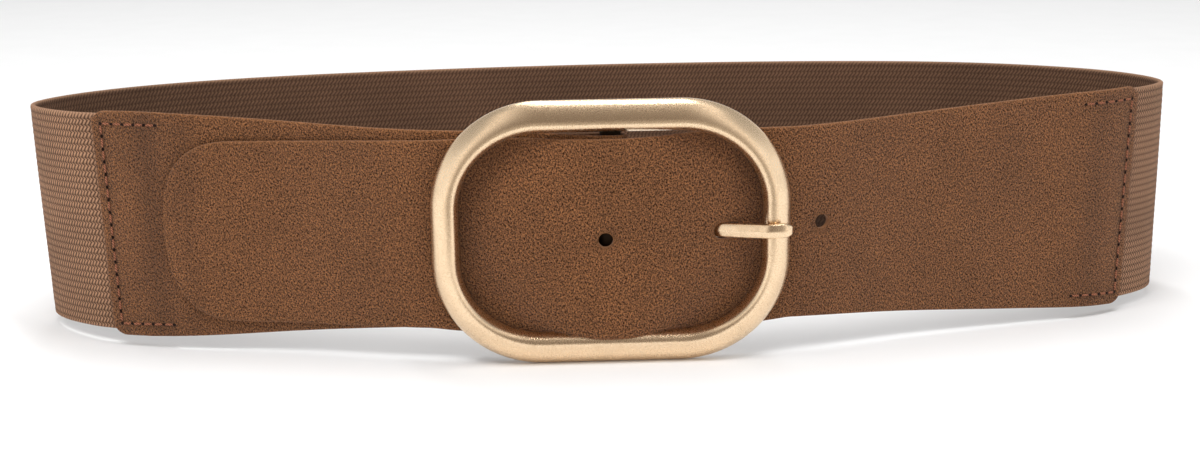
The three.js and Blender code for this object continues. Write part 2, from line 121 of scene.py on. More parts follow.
@dataclass
class LoopPlan:
    """The closed line that the belt follows, as the solids have it."""

    width: float = 317.0
    depth: float = 127.0
    webbing: float = 60.0
    front_middle: float = 35.1
    ring_front: float = 11.824
    rise_power: float = 1.35
    steps: int = 160
    stations: tuple[tuple[float, float, float], ...] = (
        (0, 0, 0.06), (0.135, 0.016, 0.063), (0.248, 0.102, 0.07), (0.352, 0.165, 0.068),
        (0.438, 0.228, 0.055), (0.506, 0.406, 0.014), (0.482, 0.671, 0.022), (0.356, 0.913, 0.035),
        (0.008, 1, 0.045), (-0.333, 0.849, 0.054), (-0.457, 0.638, 0.047), (-0.494, 0.405, 0.04),
        (-0.445, 0.226, 0.06), (-0.367, 0.143, 0.066), (-0.262, 0.092, 0.065), (-0.135, 0.016, 0.063),
    )
    line: list[Vector] = field(default_factory=list)
    lengths: list[float] = field(default_factory=list)
    origin: Vector = field(default_factory=Vector)

    def __post_init__(self) -> None:
        """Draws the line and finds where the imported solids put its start."""
        points = [Vector((x * self.width, y * self.depth, f * self.webbing)) for x, y, f in self.stations]
        count = len(points)
        for i in range(count):
            four = [points[(i + k - 1) % count] for k in range(4)]
            self.line += [self.between(four, step / self.steps) for step in range(self.steps)]
        self.line.append(self.line[0].copy())
        self.lengths = [0.0]
        for a, b in zip(self.line, self.line[1:]):
            self.lengths.append(self.lengths[-1] + (b - a).length)
        low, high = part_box("buckle_frame")
        self.origin = Vector(((low[0] + high[0]) / 2, low[1] + self.ring_front * MM, low[2]))

    @staticmethod
    def between(four: Sequence[Vector], t: float) -> Vector:
        """Point of a centripetal curve between the second and third of four points."""
        gaps = [(b - a).length ** 0.5 for a, b in zip(four, four[1:])]
        p0, p1, p2, p3 = four
        first = ((p1 - p0) / gaps[0] - (p2 - p0) / (gaps[0] + gaps[1]) + (p2 - p1) / gaps[1]) * gaps[1]
        second = ((p2 - p1) / gaps[1] - (p3 - p1) / (gaps[1] + gaps[2]) + (p3 - p2) / gaps[2]) * gaps[1]
        bend = -3 * p1 + 3 * p2 - 2 * first - second
        turn = 2 * p1 - 2 * p2 + first + second
        return p1 + first * t + bend * t * t + turn * t * t * t

    @property
    def length(self) -> float:
        """Length of the whole loop."""
        return self.lengths[-1]

    def point(self, along: float) -> Vector:
        """Point of the line at a distance along it, with the flare as its third number."""
        here = along % self.length
        i = min(max(bisect.bisect_right(self.lengths, here) - 1, 0), len(self.line) - 2)
        share = (here - self.lengths[i]) / (self.lengths[i + 1] - self.lengths[i])
        return self.line[i].lerp(self.line[i + 1], share)

    def at(self, along: float) -> Place:
        """Point, outward direction, middle height and lean at a distance along the loop."""
        point = self.point(along)
        way = self.point(along + 0.8) - self.point(along - 0.8)
        outward = Vector((way.y, -way.x)).normalized()
        frontness = min(max(1 - point.y / self.depth, 0.0), 1.0)
        back = self.webbing / 2
        middle = back + (self.front_middle - back) * frontness**self.rise_power
        return Place(point, outward, middle, point.z / self.webbing)

    def packed(self, x: float, y: float, z: float) -> Vector:
        """A point of the plan, in millimetres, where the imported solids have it, in metres."""
        return self.origin + Vector((x, y, z)) * MM

    def on_loop(self, along: float, out: float, above: float, place: Place | None = None) -> Vector:
        """Packed position along the loop, outwards from it and above its middle.

        Args:
            along: distance along the loop from the buckle.
            out: distance outwards.
            above: height above the middle.
            place: the loop's place there, where it is already known.

        Returns:
            The position in metres.
        """
        here = place or self.at(along)
        reach = out + above * here.slope
        return self.packed(
            here.point.x + here.outward.x * reach, here.point.y + here.outward.y * reach, here.middle + above
        )

    def on_front(self, along: float, out: float, above: float) -> Vector:
        """Packed position on the flat tangent of the loop at the buckle."""
        here = self.at(0)
        return self.packed(here.point.x + along, here.point.y - out - above * here.slope, here.middle + above)


@dataclass
class BuckleSizes:
    """Sizes that the straps, the ring and the prong share."""

    ring_width: float = 91.8
    ring_height: float = 69.3
    ring_drop: float = 0.45
    ring_bar: float = 7.0
    ring_bar_high: float = 8.2
    ring_depth: float = 5.0
    ring_wall: float = 1.2
    ring_corner: float = 28.0
    bar_width: float = 5.4
    bar_depth: float = 2.8
    bar_seat: float = 1.5
    clearance: float = 0.3
    strap: float = 1.5
    elastic: float = 1.6
    tongue_width: float = 51.2
    tongue_drop: float = 1.1
    tongue_sag: float = 0.5
    prong_root_drop: float = 1.8
    prong_tip_rise: float = 0.2
    prong_overhang: float = -0.4
    bulge_margin: float = 3.0
    bulge_softness: float = 0.15

    @property
    def strap_out(self) -> float:
        """Middle surface of the lower strap."""
        return self.elastic / 2 + self.clearance + self.strap / 2

    @property
    def layer(self) -> float:
        """Distance between two straps' middle surfaces."""
        return self.strap + self.clearance

    @property
    def tongue_out(self) -> float:
        """Middle surface of the upper strap."""
        return self.strap_out + self.layer

    @property
    def ring_back(self) -> float:
        """Back of the ring."""
        return self.tongue_out + self.strap / 2 + 2 * self.clearance

    @property
    def bar_out(self) -> float:
        """Middle of the centre bar."""
        return self.ring_back + self.bar_seat - self.bar_depth / 2

    @property
    def prong_length(self) -> float:
        """Length of the prong from the bar's middle to its tip."""
        return self.ring_width / 2 + self.prong_overhang

    def prong_height(self, along: float) -> float:
        """Height of the prong's middle line, which rises from the bar to the tip."""
        climb = self.prong_root_drop + self.prong_tip_rise
        return climb * along / self.prong_length - self.prong_root_drop

    def drop(self, along: float) -> float:
        """How far the right panel lies below the straps' middle."""
        half = self.ring_width / 2
        sag = self.tongue_sag * max(1 - (along / half) ** 2, 0.0)
        return self.tongue_drop * smooth_step((half - along) / half) + sag

    def opening_half(self, above: float) -> float:
        """Half the ring's opening at a height, less a margin."""
        corner = self.ring_corner - self.ring_bar
        into = max(abs(above + self.ring_drop) - (self.ring_height / 2 - self.ring_bar_high - corner), 0.0)
        inset = corner - math.sqrt(max(corner**2 - into**2, 0.0))
        return self.ring_width / 2 - self.ring_bar - inset - self.bulge_margin

    def bulge(self, along: float, above: float) -> float:
        """How far a strap stands forward over the centre bar."""
        edge = self.tongue_width / 2
        middle, rim = self.opening_half(0), self.opening_half(edge)
        reach = middle - (middle - rim) * (above / edge) ** 2
        rise = self.bar_out + self.bar_depth / 2 + self.clearance + self.strap / 2 - self.strap_out

        def softened(value: float) -> float:
            return value + math.sqrt(value**2 + self.bulge_softness**2)

        return rise * softened(1 - (along / reach) ** 2) / softened(1)


# Meshes


@dataclass(frozen=True)
class SectionPoint:
    """One point round a strip's section, before its size is known."""

    share: float
    rounding: float
    wall: float
    curl: float
    side: Side


def strip_section(rows: int, arc: int = 3) -> list[SectionPoint]:
    """Points round a flat section with rounded edges, outer face first and upwards.

    Args:
        rows: steps across each face.
        arc: steps in each quarter of a rounded edge.

    Returns:
        The points in order.
    """
    shares = [-1 + 2 * i / rows for i in range(rows + 1)]
    quarter = [math.pi / 2 * i / arc for i in range(1, arc + 1)]

    def edge(end: int, side: Side, angles: Iterable[float]) -> list[SectionPoint]:
        sign = side.value
        return [SectionPoint(end, end * math.sin(a), sign, sign * math.cos(a), side) for a in angles]

    outer = [SectionPoint(s, 0, 1, 1, Side.OUTER) for s in shares]
    inner = [SectionPoint(s, 0, -1, -1, Side.INNER) for s in reversed(shares)]
    upper = edge(1, Side.OUTER, quarter) + edge(1, Side.INNER, reversed(quarter))
    lower = edge(-1, Side.INNER, quarter) + edge(-1, Side.OUTER, reversed(quarter))
    return outer + upper + inner + lower


@dataclass
class Spot:
    """One vertex of a wrapped strip: where it is, its cloth coordinates and its marks."""

    position: Vector
    cloth: tuple[float, float]
    marks: tuple[float, float, float, float]


def finished(
    name: str, shape: bmesh.types.BMesh, finish: bpy.types.Material, sharp: float = 40.0
) -> bpy.types.Object:
    """Makes an object of a finished bmesh.

    Args:
        name: the piece's name.
        shape: its mesh, which is freed.
        finish: its material.
        sharp: edges turned more than this many degrees stay sharp.

    Returns:
        The linked object, at the origin.
    """
    mesh = bpy.data.meshes.new(name)
    for face in shape.faces:
        face.smooth = True
    shape.to_mesh(mesh)
    shape.free()
    mesh.set_sharp_from_angle(angle=math.radians(sharp))
    mesh.materials.append(finish)
    piece = bpy.data.objects.new(name, mesh)
    bpy.context.collection.objects.link(piece)
    log.info("%s: %d vertices, %d faces", name, len(mesh.vertices), len(mesh.polygons))
    return piece


def wrapped(stations: int, around: int, spot: Callable[[int, int], Spot]) -> bmesh.types.BMesh:
    """Wraps a grid into a closed strip with its two ends filled.

    Args:
        stations: number of stations along the strip.
        around: number of points round its section.
        spot: gives the vertex of a station and a section point.

    Returns:
        The closed mesh, with cloth coordinates and marks.
    """
    shape = bmesh.new()
    cloth = shape.loops.layers.uv.new("cloth")
    marks = shape.verts.layers.float_color.new("marks")
    bmesh.ops.create_grid(shape, x_segments=stations - 1, y_segments=around, size=1.0)
    spots: dict[bmesh.types.BMVert, Spot] = {}
    for vert in shape.verts:
        i = round((vert.co.x + 1) / 2 * (stations - 1))
        j = round((vert.co.y + 1) / 2 * around) % around
        spots[vert] = spot(i, j)
    for vert, there in spots.items():
        vert.co = there.position
        vert[marks] = there.marks
    for face in shape.faces:
        for loop in face.loops:
            loop[cloth].uv = spots[loop.vert].cloth
    bmesh.ops.remove_doubles(shape, verts=shape.verts[:], dist=1e-8)
    rim = [edge for edge in shape.edges if edge.is_boundary]
    bmesh.ops.holes_fill(shape, edges=rim, sides=0)
    bmesh.ops.recalc_face_normals(shape, faces=shape.faces[:])
    return shape


def punched(piece: bpy.types.Object, cutters: Sequence[bmesh.types.BMesh]) -> None:
    """Cuts closed shapes out of a piece and keeps the result as its mesh."""
    tools = []
    for cutter in cutters:
        mesh = bpy.data.meshes.new("punch")
        cutter.to_mesh(mesh)
        cutter.free()
        tool = bpy.data.objects.new("punch", mesh)
        bpy.context.collection.objects.link(tool)
        cut = piece.modifiers.new("punch", "BOOLEAN")
        cut.operation = "DIFFERENCE"
        cut.solver = "EXACT"
        cut.object = tool
        tools.append(tool)
    graph = bpy.context.evaluated_depsgraph_get()
    whole = bpy.data.meshes.new_from_object(piece.evaluated_get(graph))
    piece.modifiers.clear()
    piece.data = whole
    for tool in tools:
        bpy.data.objects.remove(tool)


# Straps and elastic


@dataclass
class PanelShape:
    """Outline of a suede panel: narrow at the buckle, wider at its sewn end, with rounded corners."""

    reach: float
    narrow: float
    wide_stretch: float
    start: float = 45.7
    wide: float = 62.0
    corner: float = 4.0

    def half(self, from_buckle: float) -> float:
        """Half the panel's height at a distance from the buckle."""
        t = min(max((from_buckle - self.start) / (self.reach - self.wide_stretch - self.start), 0.0), 1.0)
        half = (self.narrow + (self.wide - self.narrow) * (t + smooth_step(t)) / 2) / 2
        into = max(from_buckle - (self.reach - self.corner), 0.0)
        return half - self.corner + math.sqrt(max(self.corner**2 - into**2, 0.0))


@dataclass
class ElasticBand:
    """The woven elastic, round the sides and the back."""

    plan: LoopPlan
    start: float = 132.3
    left_reach: float = 118.5
    width: float = 60.0
    thickness: float = 1.6
    edge: float = 0.6
    row_pitch: float = 1.78
    rib: float = 0.1
    selvedge: float = 2.3
    thinning: float = 0.12
    wave: float = 0.2
    wave_size: float = 45.0
    calm_end: float = 20.0
    step: float = 3.0
    rows: int = 136

    @property
    def end(self) -> float:
        """Distance along the loop where the elastic ends."""
        return self.plan.length - self.left_reach

    def build(self, finish: bpy.types.Material) -> bpy.types.Object:
        """Makes the band with its woven rows as low ribs on both faces."""
        alongs = spaced(self.start, self.end, self.step)
        places = [self.plan.at(along) for along in alongs]
        section = strip_section(self.rows)
        half, wall = self.width / 2, self.thickness / 2

        def spot(i: int, j: int) -> Spot:
            point = section[j]
            above = point.share * (half - self.edge) + point.rounding * self.edge
            from_edge = half - abs(above)
            rib = self.rib * math.sin(math.pi * above / self.row_pitch) ** 2 * smooth_step(from_edge / 1.5)
            thin = self.thinning * hill(from_edge - self.selvedge, 0.6)
            out = point.wall * (wall - self.edge) + point.curl * self.edge
            out += point.wall * (rib - self.rib - thin)
            wave = self.wave * ripple(alongs[i], above, self.wave_size, 3.0)
            wave *= smooth_step((alongs[i] - self.start) / self.calm_end)
            wave *= smooth_step((self.end - alongs[i]) / self.calm_end)
            rim = 1 - smooth_step(from_edge / 0.9)
            outside = 1.0 if point.side is Side.OUTER else 0.0
            position = self.plan.on_loop(alongs[i], out + wave, above, places[i])
            return Spot(position, (alongs[i], above), (rim, 0.0, 0.0, outside))

        piece = finished("woven_elastic", wrapped(len(alongs), len(section), spot), finish)
        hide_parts("elastic_band")
        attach(piece, "root")
        return piece


@dataclass
class SeamLine:
    """A bracket of stitches at a panel's sewn end, in the panel's own measures."""

    panel: PanelShape
    from_end: float = 2.9
    from_edge: float = 3.4
    run: float = 15.5
    pitch: float = 3.4

    def corners(self) -> list[tuple[float, float]]:
        """Corner points as distance from the buckle and height."""
        end = self.panel.reach - self.from_end
        inner = end - self.run
        high = self.panel.wide / 2 - self.from_edge
        return [(inner, self.panel.half(inner) - self.from_edge), (end, high), (end, -high),
                (inner, -self.panel.half(inner) + self.from_edge)]

    def stitches(self) -> list[tuple[tuple[float, float], tuple[float, float]]]:
        """Both needle points of each stitch."""
        found = []
        corners = self.corners()
        for (x0, y0), (x1, y1) in zip(corners, corners[1:]):
            length = math.hypot(x1 - x0, y1 - y0)
            count = max(round(length / self.pitch), 1)
            points = [(x0 + (x1 - x0) * k / count, y0 + (y1 - y0) * k / count) for k in range(count + 1)]
            found += list(zip(points, points[1:]))
        return found

    def distance(self, from_buckle: float, above: float) -> float:
        """How far a point of the panel is from the row of stitches."""
        point = Vector((from_buckle, above))
        best = 1e9
        corners = [Vector(corner) for corner in self.corners()]
        for a, b in zip(corners, corners[1:]):
            share = min(max((point - a).dot(b - a) / (b - a).length_squared, 0.0), 1.0)
            best = min(best, (point - a.lerp(b, share)).length)
        return best


@dataclass
class PanelPoint:
    """A station of a panel: its middle line and half height there."""

    path: float
    along: float
    half: float
    curl: float = 1.0
    fold: tuple[float, float] | None = None


@dataclass
class SuedePanel:
    """What both suede panels share: a strip with rounded edges, laid on the loop."""

    plan: LoopPlan
    sizes: BuckleSizes
    edge: float = 0.55
    rows: int = 30
    step: float = 1.8
    corner: float = 4.0
    corner_run: float = 3.4
    wave: float = 0.16
    wave_size: float = 26.0
    press: float = 0.16
    rim_width: float = 0.7
    seam_press: float = 1.6

    def end_stations(self, reach: float) -> list[tuple[float, float]]:
        """Distances from the buckle and thinning, over a sewn end's rounded corner and edge."""
        corner = [
            (reach - self.corner + self.corner_run * math.sin(turn), 1.0)
            for turn in map(math.radians, range(0, 91, 15))
        ]
        rim = [
            (reach - self.edge * (1 - math.sin(turn)), math.cos(turn))
            for turn in map(math.radians, EDGE_ANGLES)
        ]
        return corner + rim

    def strip(
        self,
        points: Sequence[PanelPoint],
        where: Callable[[PanelPoint, float], tuple[float, float]],
        marks: Callable[[PanelPoint, float], tuple[float, float, float]],
    ) -> bmesh.types.BMesh:
        """Wraps the panel round its middle surface.

        Args:
            points: stations along the panel.
            where: distance along the loop and outwards, of a station at a height.
            marks: edge, pressed and shaded marks of a station at a height; the pressed mark dents the face,
                and both the pressed and the shaded mark paint shade on it.

        Returns:
            The closed mesh.
        """
        section = strip_section(self.rows)
        wall = self.sizes.strap / 2

        def spot(i: int, j: int) -> Spot:
            here, side = points[i], section[j]
            above = side.share * max(here.half - self.edge, 0.05) + side.rounding * min(self.edge, here.half)
            mine = where(here, above)
            before = where(points[max(i - 1, 0)], above)
            after = where(points[min(i + 1, len(points) - 1)], above)
            turn = Vector((-(after[1] - before[1]), after[0] - before[0])).normalized()
            out = side.wall * (wall - self.edge) + side.curl * self.edge * here.curl
            rim, pressed, shade = marks(here, above)
            out -= side.wall * self.press * pressed if side.side is Side.OUTER else 0.0
            lifted = self.lifted(here.path, above, here.half)
            position = self.settle(mine[0] + turn.x * out, mine[1] + turn.y * out + lifted, above)
            rim = max(rim, 1 - smooth_step((here.half - abs(above)) / self.rim_width), 1 - here.curl)
            outside = 1.0 if side.side is Side.OUTER else 0.0
            return Spot(position, (here.path, above), (rim, pressed, shade, outside))

        return wrapped(len(points), len(section), spot)

    def lifted(self, path: float, above: float, half: float) -> float:
        """Slight unevenness of a worn panel, quiet at the ends of its stretch."""
        calm = smooth_step((half - abs(above)) / 3 + 0.3)
        return self.wave * ripple(path, above, self.wave_size, 7.0) * calm

    def settle(self, along: float, out: float, above: float) -> Vector:
        """Packed position of a point of the panel."""
        return self.plan.on_loop(along, out, above)


@dataclass
class BucklePanel(SuedePanel):
    """The left panel, sewn on the elastic, folded round the centre bar, its tail turned back inside."""

    outline: PanelShape = field(
        default_factory=lambda: PanelShape(reach=136.5, narrow=52.6, wide_stretch=11.0)
    )
    fold_width: float = 50.4
    tail: float = 36.0
    slot_length: float = 16.0
    slot_height: float = 5.2
    # Painted shade across the panel: strength, distance from the buckle and width of each soft stripe.
    painted_shade_bands: tuple[tuple[float, float, float], ...] = ((0.8, 121.5, 7.5), (0.5, 112.0, 5.0))

    def half(self, from_buckle: float) -> float:
        """Half the panel's height, a little less inside the ring."""
        taper = max(1 - from_buckle / (self.sizes.ring_width / 2), 0.0)
        return self.outline.half(from_buckle) - (self.outline.narrow - self.fold_width) / 2 * taper

    def points(self) -> list[PanelPoint]:
        """Stations from the sewn end to the end of the tail."""
        sizes = self.sizes
        radius = sizes.bar_depth / 2 + sizes.clearance + sizes.strap / 2
        fold_at = sizes.bar_width / 2 - sizes.bar_depth / 2
        reach = self.outline.reach
        run = [
            PanelPoint(-d, -d, self.outline.half(min(d, reach - self.edge)), curl)
            for d, curl in reversed(self.end_stations(reach))
        ]
        run += [PanelPoint(-d, -d, self.half(d)) for d in spaced(reach - self.corner, 0, self.step)[1:]]
        half = self.half(0)
        path = fold_at
        for angle in range(0, 181, 15):
            turn = math.radians(angle)
            fold = (fold_at + radius * math.sin(turn), sizes.bar_out + radius * math.cos(turn))
            run.append(PanelPoint(path + radius * turn, fold[0], half, fold=fold))
        path += radius * math.pi + fold_at
        backs = spaced(0, self.tail - self.edge, self.step)
        run += [PanelPoint(path + back, -back, half, fold=(-back, math.nan)) for back in backs]
        for turn in map(math.radians, EDGE_ANGLES):
            back = self.tail - self.edge * (1 - math.sin(turn))
            run.append(PanelPoint(path + back, -back, half, math.cos(turn), (-back, math.nan)))
        return run

    def where(self, point: PanelPoint, above: float) -> tuple[float, float]:
        """Distance along and outwards of the middle surface."""
        sizes = self.sizes
        over = sizes.strap_out + sizes.bulge(point.along, above)
        if point.fold is None:
            return point.along, over
        if not math.isnan(point.fold[1]):
            return point.fold
        radius = sizes.bar_depth / 2 + sizes.clearance + sizes.strap / 2
        behind = sizes.bar_out - radius
        closing = smooth_step(-point.along / (sizes.bar_width * 3))
        return point.along, behind + (over - sizes.layer - behind) * closing

    def build(self, finish: bpy.types.Material) -> bpy.types.Object:
        """Makes the panel with its slot for the prong."""
        seam = SeamLine(self.outline)

        def marks(point: PanelPoint, above: float) -> tuple[float, float, float]:
            if point.fold is not None:
                return 0.0, 0.0, 0.0
            # Pressed along the stitches: a real dent, and painted shade in it.
            pressed = hill(seam.distance(-point.along, above), self.seam_press)
            # Painted shade in soft stripes near the sewn end.
            shade = sum(strength * hill(-point.along - at, width) for strength, at, width in self.painted_shade_bands)
            return 0.0, pressed, shade

        piece = finished("left_panel", self.strip(self.points(), self.where, marks), finish)
        cutter = bmesh.new()
        bmesh.ops.create_cube(cutter, size=1.0)
        slot = Vector((self.slot_length, CUT_DEPTH, self.slot_height)) * MM
        bmesh.ops.scale(cutter, vec=slot, verts=cutter.verts[:])
        centre = self.plan.on_front(0, self.sizes.bar_out, 0)
        centre.z = self.plan.origin.z + (self.plan.front_middle + self.sizes.prong_height(0)) * MM
        bmesh.ops.translate(cutter, vec=centre, verts=cutter.verts[:])
        punched(piece, [cutter])
        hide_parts("buckle_strap")
        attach(piece, "root")
        return piece


@dataclass
class TonguePanel(SuedePanel):
    """The right panel, sewn on the elastic, through the ring and over the left one, with a rounded end."""

    outline: PanelShape = field(
        default_factory=lambda: PanelShape(reach=150.3, narrow=51.2, wide_stretch=4.0)
    )
    tip_reach: float = 117.5
    tip_length: float = 20.0
    squareness: float = 2.6
    lap: float = 18.0
    hole: float = 3.8
    tip_width: float = 49.0
    first_hole: float = -1.6
    hole_spacing: float = 28.0
    prong_hole: tuple[float, float] = (7.6, 4.4)
    prong_hole_shift: float = 3.2
    swell: tuple[float, float] = (0.6, 1.0)
    tip_angles: tuple[float, ...] = (0.5, 1.5, 3, 5, 8, *range(12, 17, 4), *range(21, 87, 5))
    tip_rim: tuple[float, float] = (0.8, 0.35)
    # Painted shade across the panel: strength, distance along and width of each soft stripe.
    painted_shade_bands: tuple[tuple[float, float, float], ...] = ((0.5, -110.5, 6.0), (0.5, 137.0, 6.0))
    # Painted shadow beside the ring's bars: strength, spread and reach outside the opening.
    ring_painted_shadow: tuple[float, float, float] = (0.8, 9.0, 8.0)

    def half(self, along: float) -> float:
        """Half the panel's height, narrowing a little towards the tip."""
        taper = min(max(-along / (self.tip_reach - self.tip_length), 0.0), 1.0)
        return self.outline.half(along) - (self.outline.narrow - self.tip_width) / 2 * taper

    def points(self) -> list[PanelPoint]:
        """Stations from the rounded end to the sewn end."""
        power = 2 / self.squareness
        run = []
        for angle in self.tip_angles:
            turn = math.radians(angle)
            along = -self.tip_reach + self.tip_length * (1 - math.cos(turn) ** power)
            half = self.tip_width / 2 * math.sin(turn) ** power
            curl = min(0.15 + angle / 4, 1.0)
            run.append(PanelPoint(along, along, half, curl))
        reach = self.outline.reach
        body = spaced(-self.tip_reach + self.tip_length, reach - self.corner, self.step)
        run += [PanelPoint(along, along, self.half(along)) for along in body[:-1]]
        run += [
            PanelPoint(d, d, self.outline.half(min(d, reach - self.edge)), curl)
            for d, curl in self.end_stations(reach)
        ]
        return run

    def lift(self, along: float) -> float:
        """Share of a layer by which the panel has climbed onto the left one."""
        start = self.outline.reach - self.lap
        return smooth_step((start - along) / (start - self.outline.start))

    def where(self, point: PanelPoint, above: float) -> tuple[float, float]:
        """Distance along and outwards of the middle surface."""
        sizes = self.sizes
        lower = above - sizes.drop(point.along)
        out = sizes.strap_out + sizes.layer * self.lift(point.along) + sizes.bulge(point.along, lower)
        return point.along, out

    def settle(self, along: float, out: float, above: float) -> Vector:
        """Packed position of a point of the panel, which hangs lower and swells a little in the ring."""
        in_ring = max(1 - (along / (self.sizes.ring_width / 2)) ** 4, 0.0)
        upper, lower = self.swell
        share = above / (self.outline.narrow / 2)
        swell = in_ring * (upper * smooth_step(share) - lower * smooth_step(-share))
        return self.plan.on_loop(along, out, above - self.sizes.drop(along) + swell)

    def hole_places(self) -> list[tuple[float, float, float, float]]:
        """Each punched hole: distance along, height above the straps' middle, length and height."""
        long, high = self.prong_hole
        first, middle, last = (self.first_hole + i * self.hole_spacing for i in range(3))
        return [
            (first, -self.sizes.drop(first), self.hole, self.hole),
            (middle + self.prong_hole_shift, self.sizes.prong_height(middle), long, high),
            (last, -self.sizes.drop(last), self.hole, self.hole),
        ]

    def punch(self, along: float, above: float, length: float, height: float) -> bmesh.types.BMesh:
        """A cutter for one hole, square to the panel."""
        cutter = bmesh.new()
        radius = height / 2 * MM
        spread = (length - height) / 2 * MM
        bmesh.ops.create_cone(
            cutter, cap_ends=True, segments=32, radius1=radius, radius2=radius, depth=CUT_DEPTH * MM
        )
        for vert in cutter.verts:
            if abs(vert.co.x) > TINY:
                vert.co.x += math.copysign(spread, vert.co.x)
        bmesh.ops.rotate(cutter, matrix=Matrix.Rotation(math.pi / 2, 3, "X"), verts=cutter.verts[:])
        outward = self.plan.at(along).outward
        turn = math.atan2(outward.y, outward.x) + math.pi / 2
        bmesh.ops.rotate(cutter, matrix=Matrix.Rotation(turn, 3, "Z"), verts=cutter.verts[:])
        centre = self.plan.on_loop(along, self.sizes.tongue_out, above)
        bmesh.ops.translate(cutter, vec=centre, verts=cutter.verts[:])
        return cutter

    def build(self, finish: bpy.types.Material) -> bpy.types.Object:
        """Makes the panel with its three holes."""
        seam = SeamLine(self.outline)
        holes = self.hole_places()

        def marks(point: PanelPoint, above: float) -> tuple[float, float, float]:
            along = point.along
            near_tip = along + self.tip_reach
            pressed = hill(seam.distance(along, above), self.seam_press)
            away = min(math.hypot(along - at, above) for at, _, _, _ in holes)
            around = hill(max(away - self.hole / 2, 0), self.seam_press)
            # Painted shadow where the ring's bars shade the panel in the opening.
            in_ring = self.sizes.opening_half(above) + self.sizes.bulge_margin - abs(along)
            strength, spread, past = self.ring_painted_shadow
            shade = strength * hill(in_ring - 1, spread) if in_ring > -past else 0.0
            # Painted shade in soft stripes near the rounded end and the sewn end.
            shade += sum(share * hill(along - at, width) for share, at, width in self.painted_shade_bands)
            rim = self.tip_rim[1] if near_tip < self.tip_rim[0] else 0.0
            # The pressed mark also paints shade round the holes.
            return rim, max(pressed, 0.7 * around), shade

        piece = finished("right_panel", self.strip(self.points(), self.where, marks), finish)
        punched(piece, [self.punch(*hole) for hole in holes])
        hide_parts("tongue_strap")
        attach(piece, "root")
        return piece


@dataclass
class Stitching:
    """Thread and needle holes of one panel's seam, on both faces of the sewn layers."""

    name: str
    panel: SuedePanel
    seam: SeamLine
    direction: int
    thread: float = 0.72
    hole: float = 0.9
    tightness: float = 0.72
    proud: float = 0.04
    dimple: tuple[float, float, float] = (1.15, 0.9, 0.22)

    def surface(self, from_buckle: float, above: float, side: Side) -> Vector:
        """A point on the outer face of the panel or the inner face of the elastic."""
        sizes = self.panel.sizes
        outer = sizes.strap_out + sizes.strap / 2 + self.proud
        out = outer if side is Side.OUTER else -(sizes.elastic + self.proud) / 2
        return self.panel.plan.on_loop(self.direction * from_buckle, out, above)

    def axes(self, start: tuple[float, float], end: tuple[float, float], side: Side) -> Matrix:
        """Matrix whose X runs along a stitch and whose Z leaves the surface."""
        a, b = self.surface(*start, side), self.surface(*end, side)
        middle = (a + b) / 2
        outward = self.panel.plan.at(self.direction * start[0]).outward
        leave = Vector((outward.x, outward.y, 0)) * side.value
        run = (b - a).normalized()
        across = leave.cross(run).normalized()
        leave = run.cross(across)
        turn = Matrix((run, across, leave)).transposed().to_4x4()
        turn.translation = middle
        return turn

    def threads(self, finish: bpy.types.Material) -> bpy.types.Object:
        """Each stitch as a short plump thread that dives in at both ends."""
        shape = bmesh.new()
        for side in Side:
            for start, end in self.seam.stitches():
                frame_here = self.axes(start, end, side)
                made = bmesh.ops.create_uvsphere(shape, u_segments=8, v_segments=8, radius=0.5)["verts"]
                length = math.dist(start, end) * self.tightness
                size = Vector((length, self.thread, self.thread * 0.9)) * MM
                bmesh.ops.rotate(shape, matrix=Matrix.Rotation(math.pi / 2, 3, "Y"), verts=made)
                bmesh.ops.scale(shape, vec=size, verts=made)
                bmesh.ops.transform(shape, matrix=frame_here, verts=made)
        piece = finished(f"{self.name}_thread", shape, finish, 80)
        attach(piece, "root")
        return piece

    def needle_holes(self, finish: bpy.types.Material) -> bpy.types.Object:
        """Each needle hole as a small dark dimple: painted shade standing in for the hole's depth."""
        shape = bmesh.new()
        radius = self.hole / 2 * MM
        for side in Side:
            for start, end in self.seam.stitches():
                frame_here = self.axes(start, end, side)
                for point in (start, end):
                    ball = bmesh.ops.create_uvsphere(shape, u_segments=8, v_segments=6, radius=radius)
                    made = ball["verts"]
                    bmesh.ops.scale(shape, vec=Vector(self.dimple), verts=made)
                    spot = frame_here.copy()
                    spot.translation = self.surface(*point, side)
                    bmesh.ops.transform(shape, matrix=spot, verts=made)
        piece = finished(f"{self.name}_needle_holes", shape, finish, 80)
        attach(piece, "root")
        return piece


# Buckle


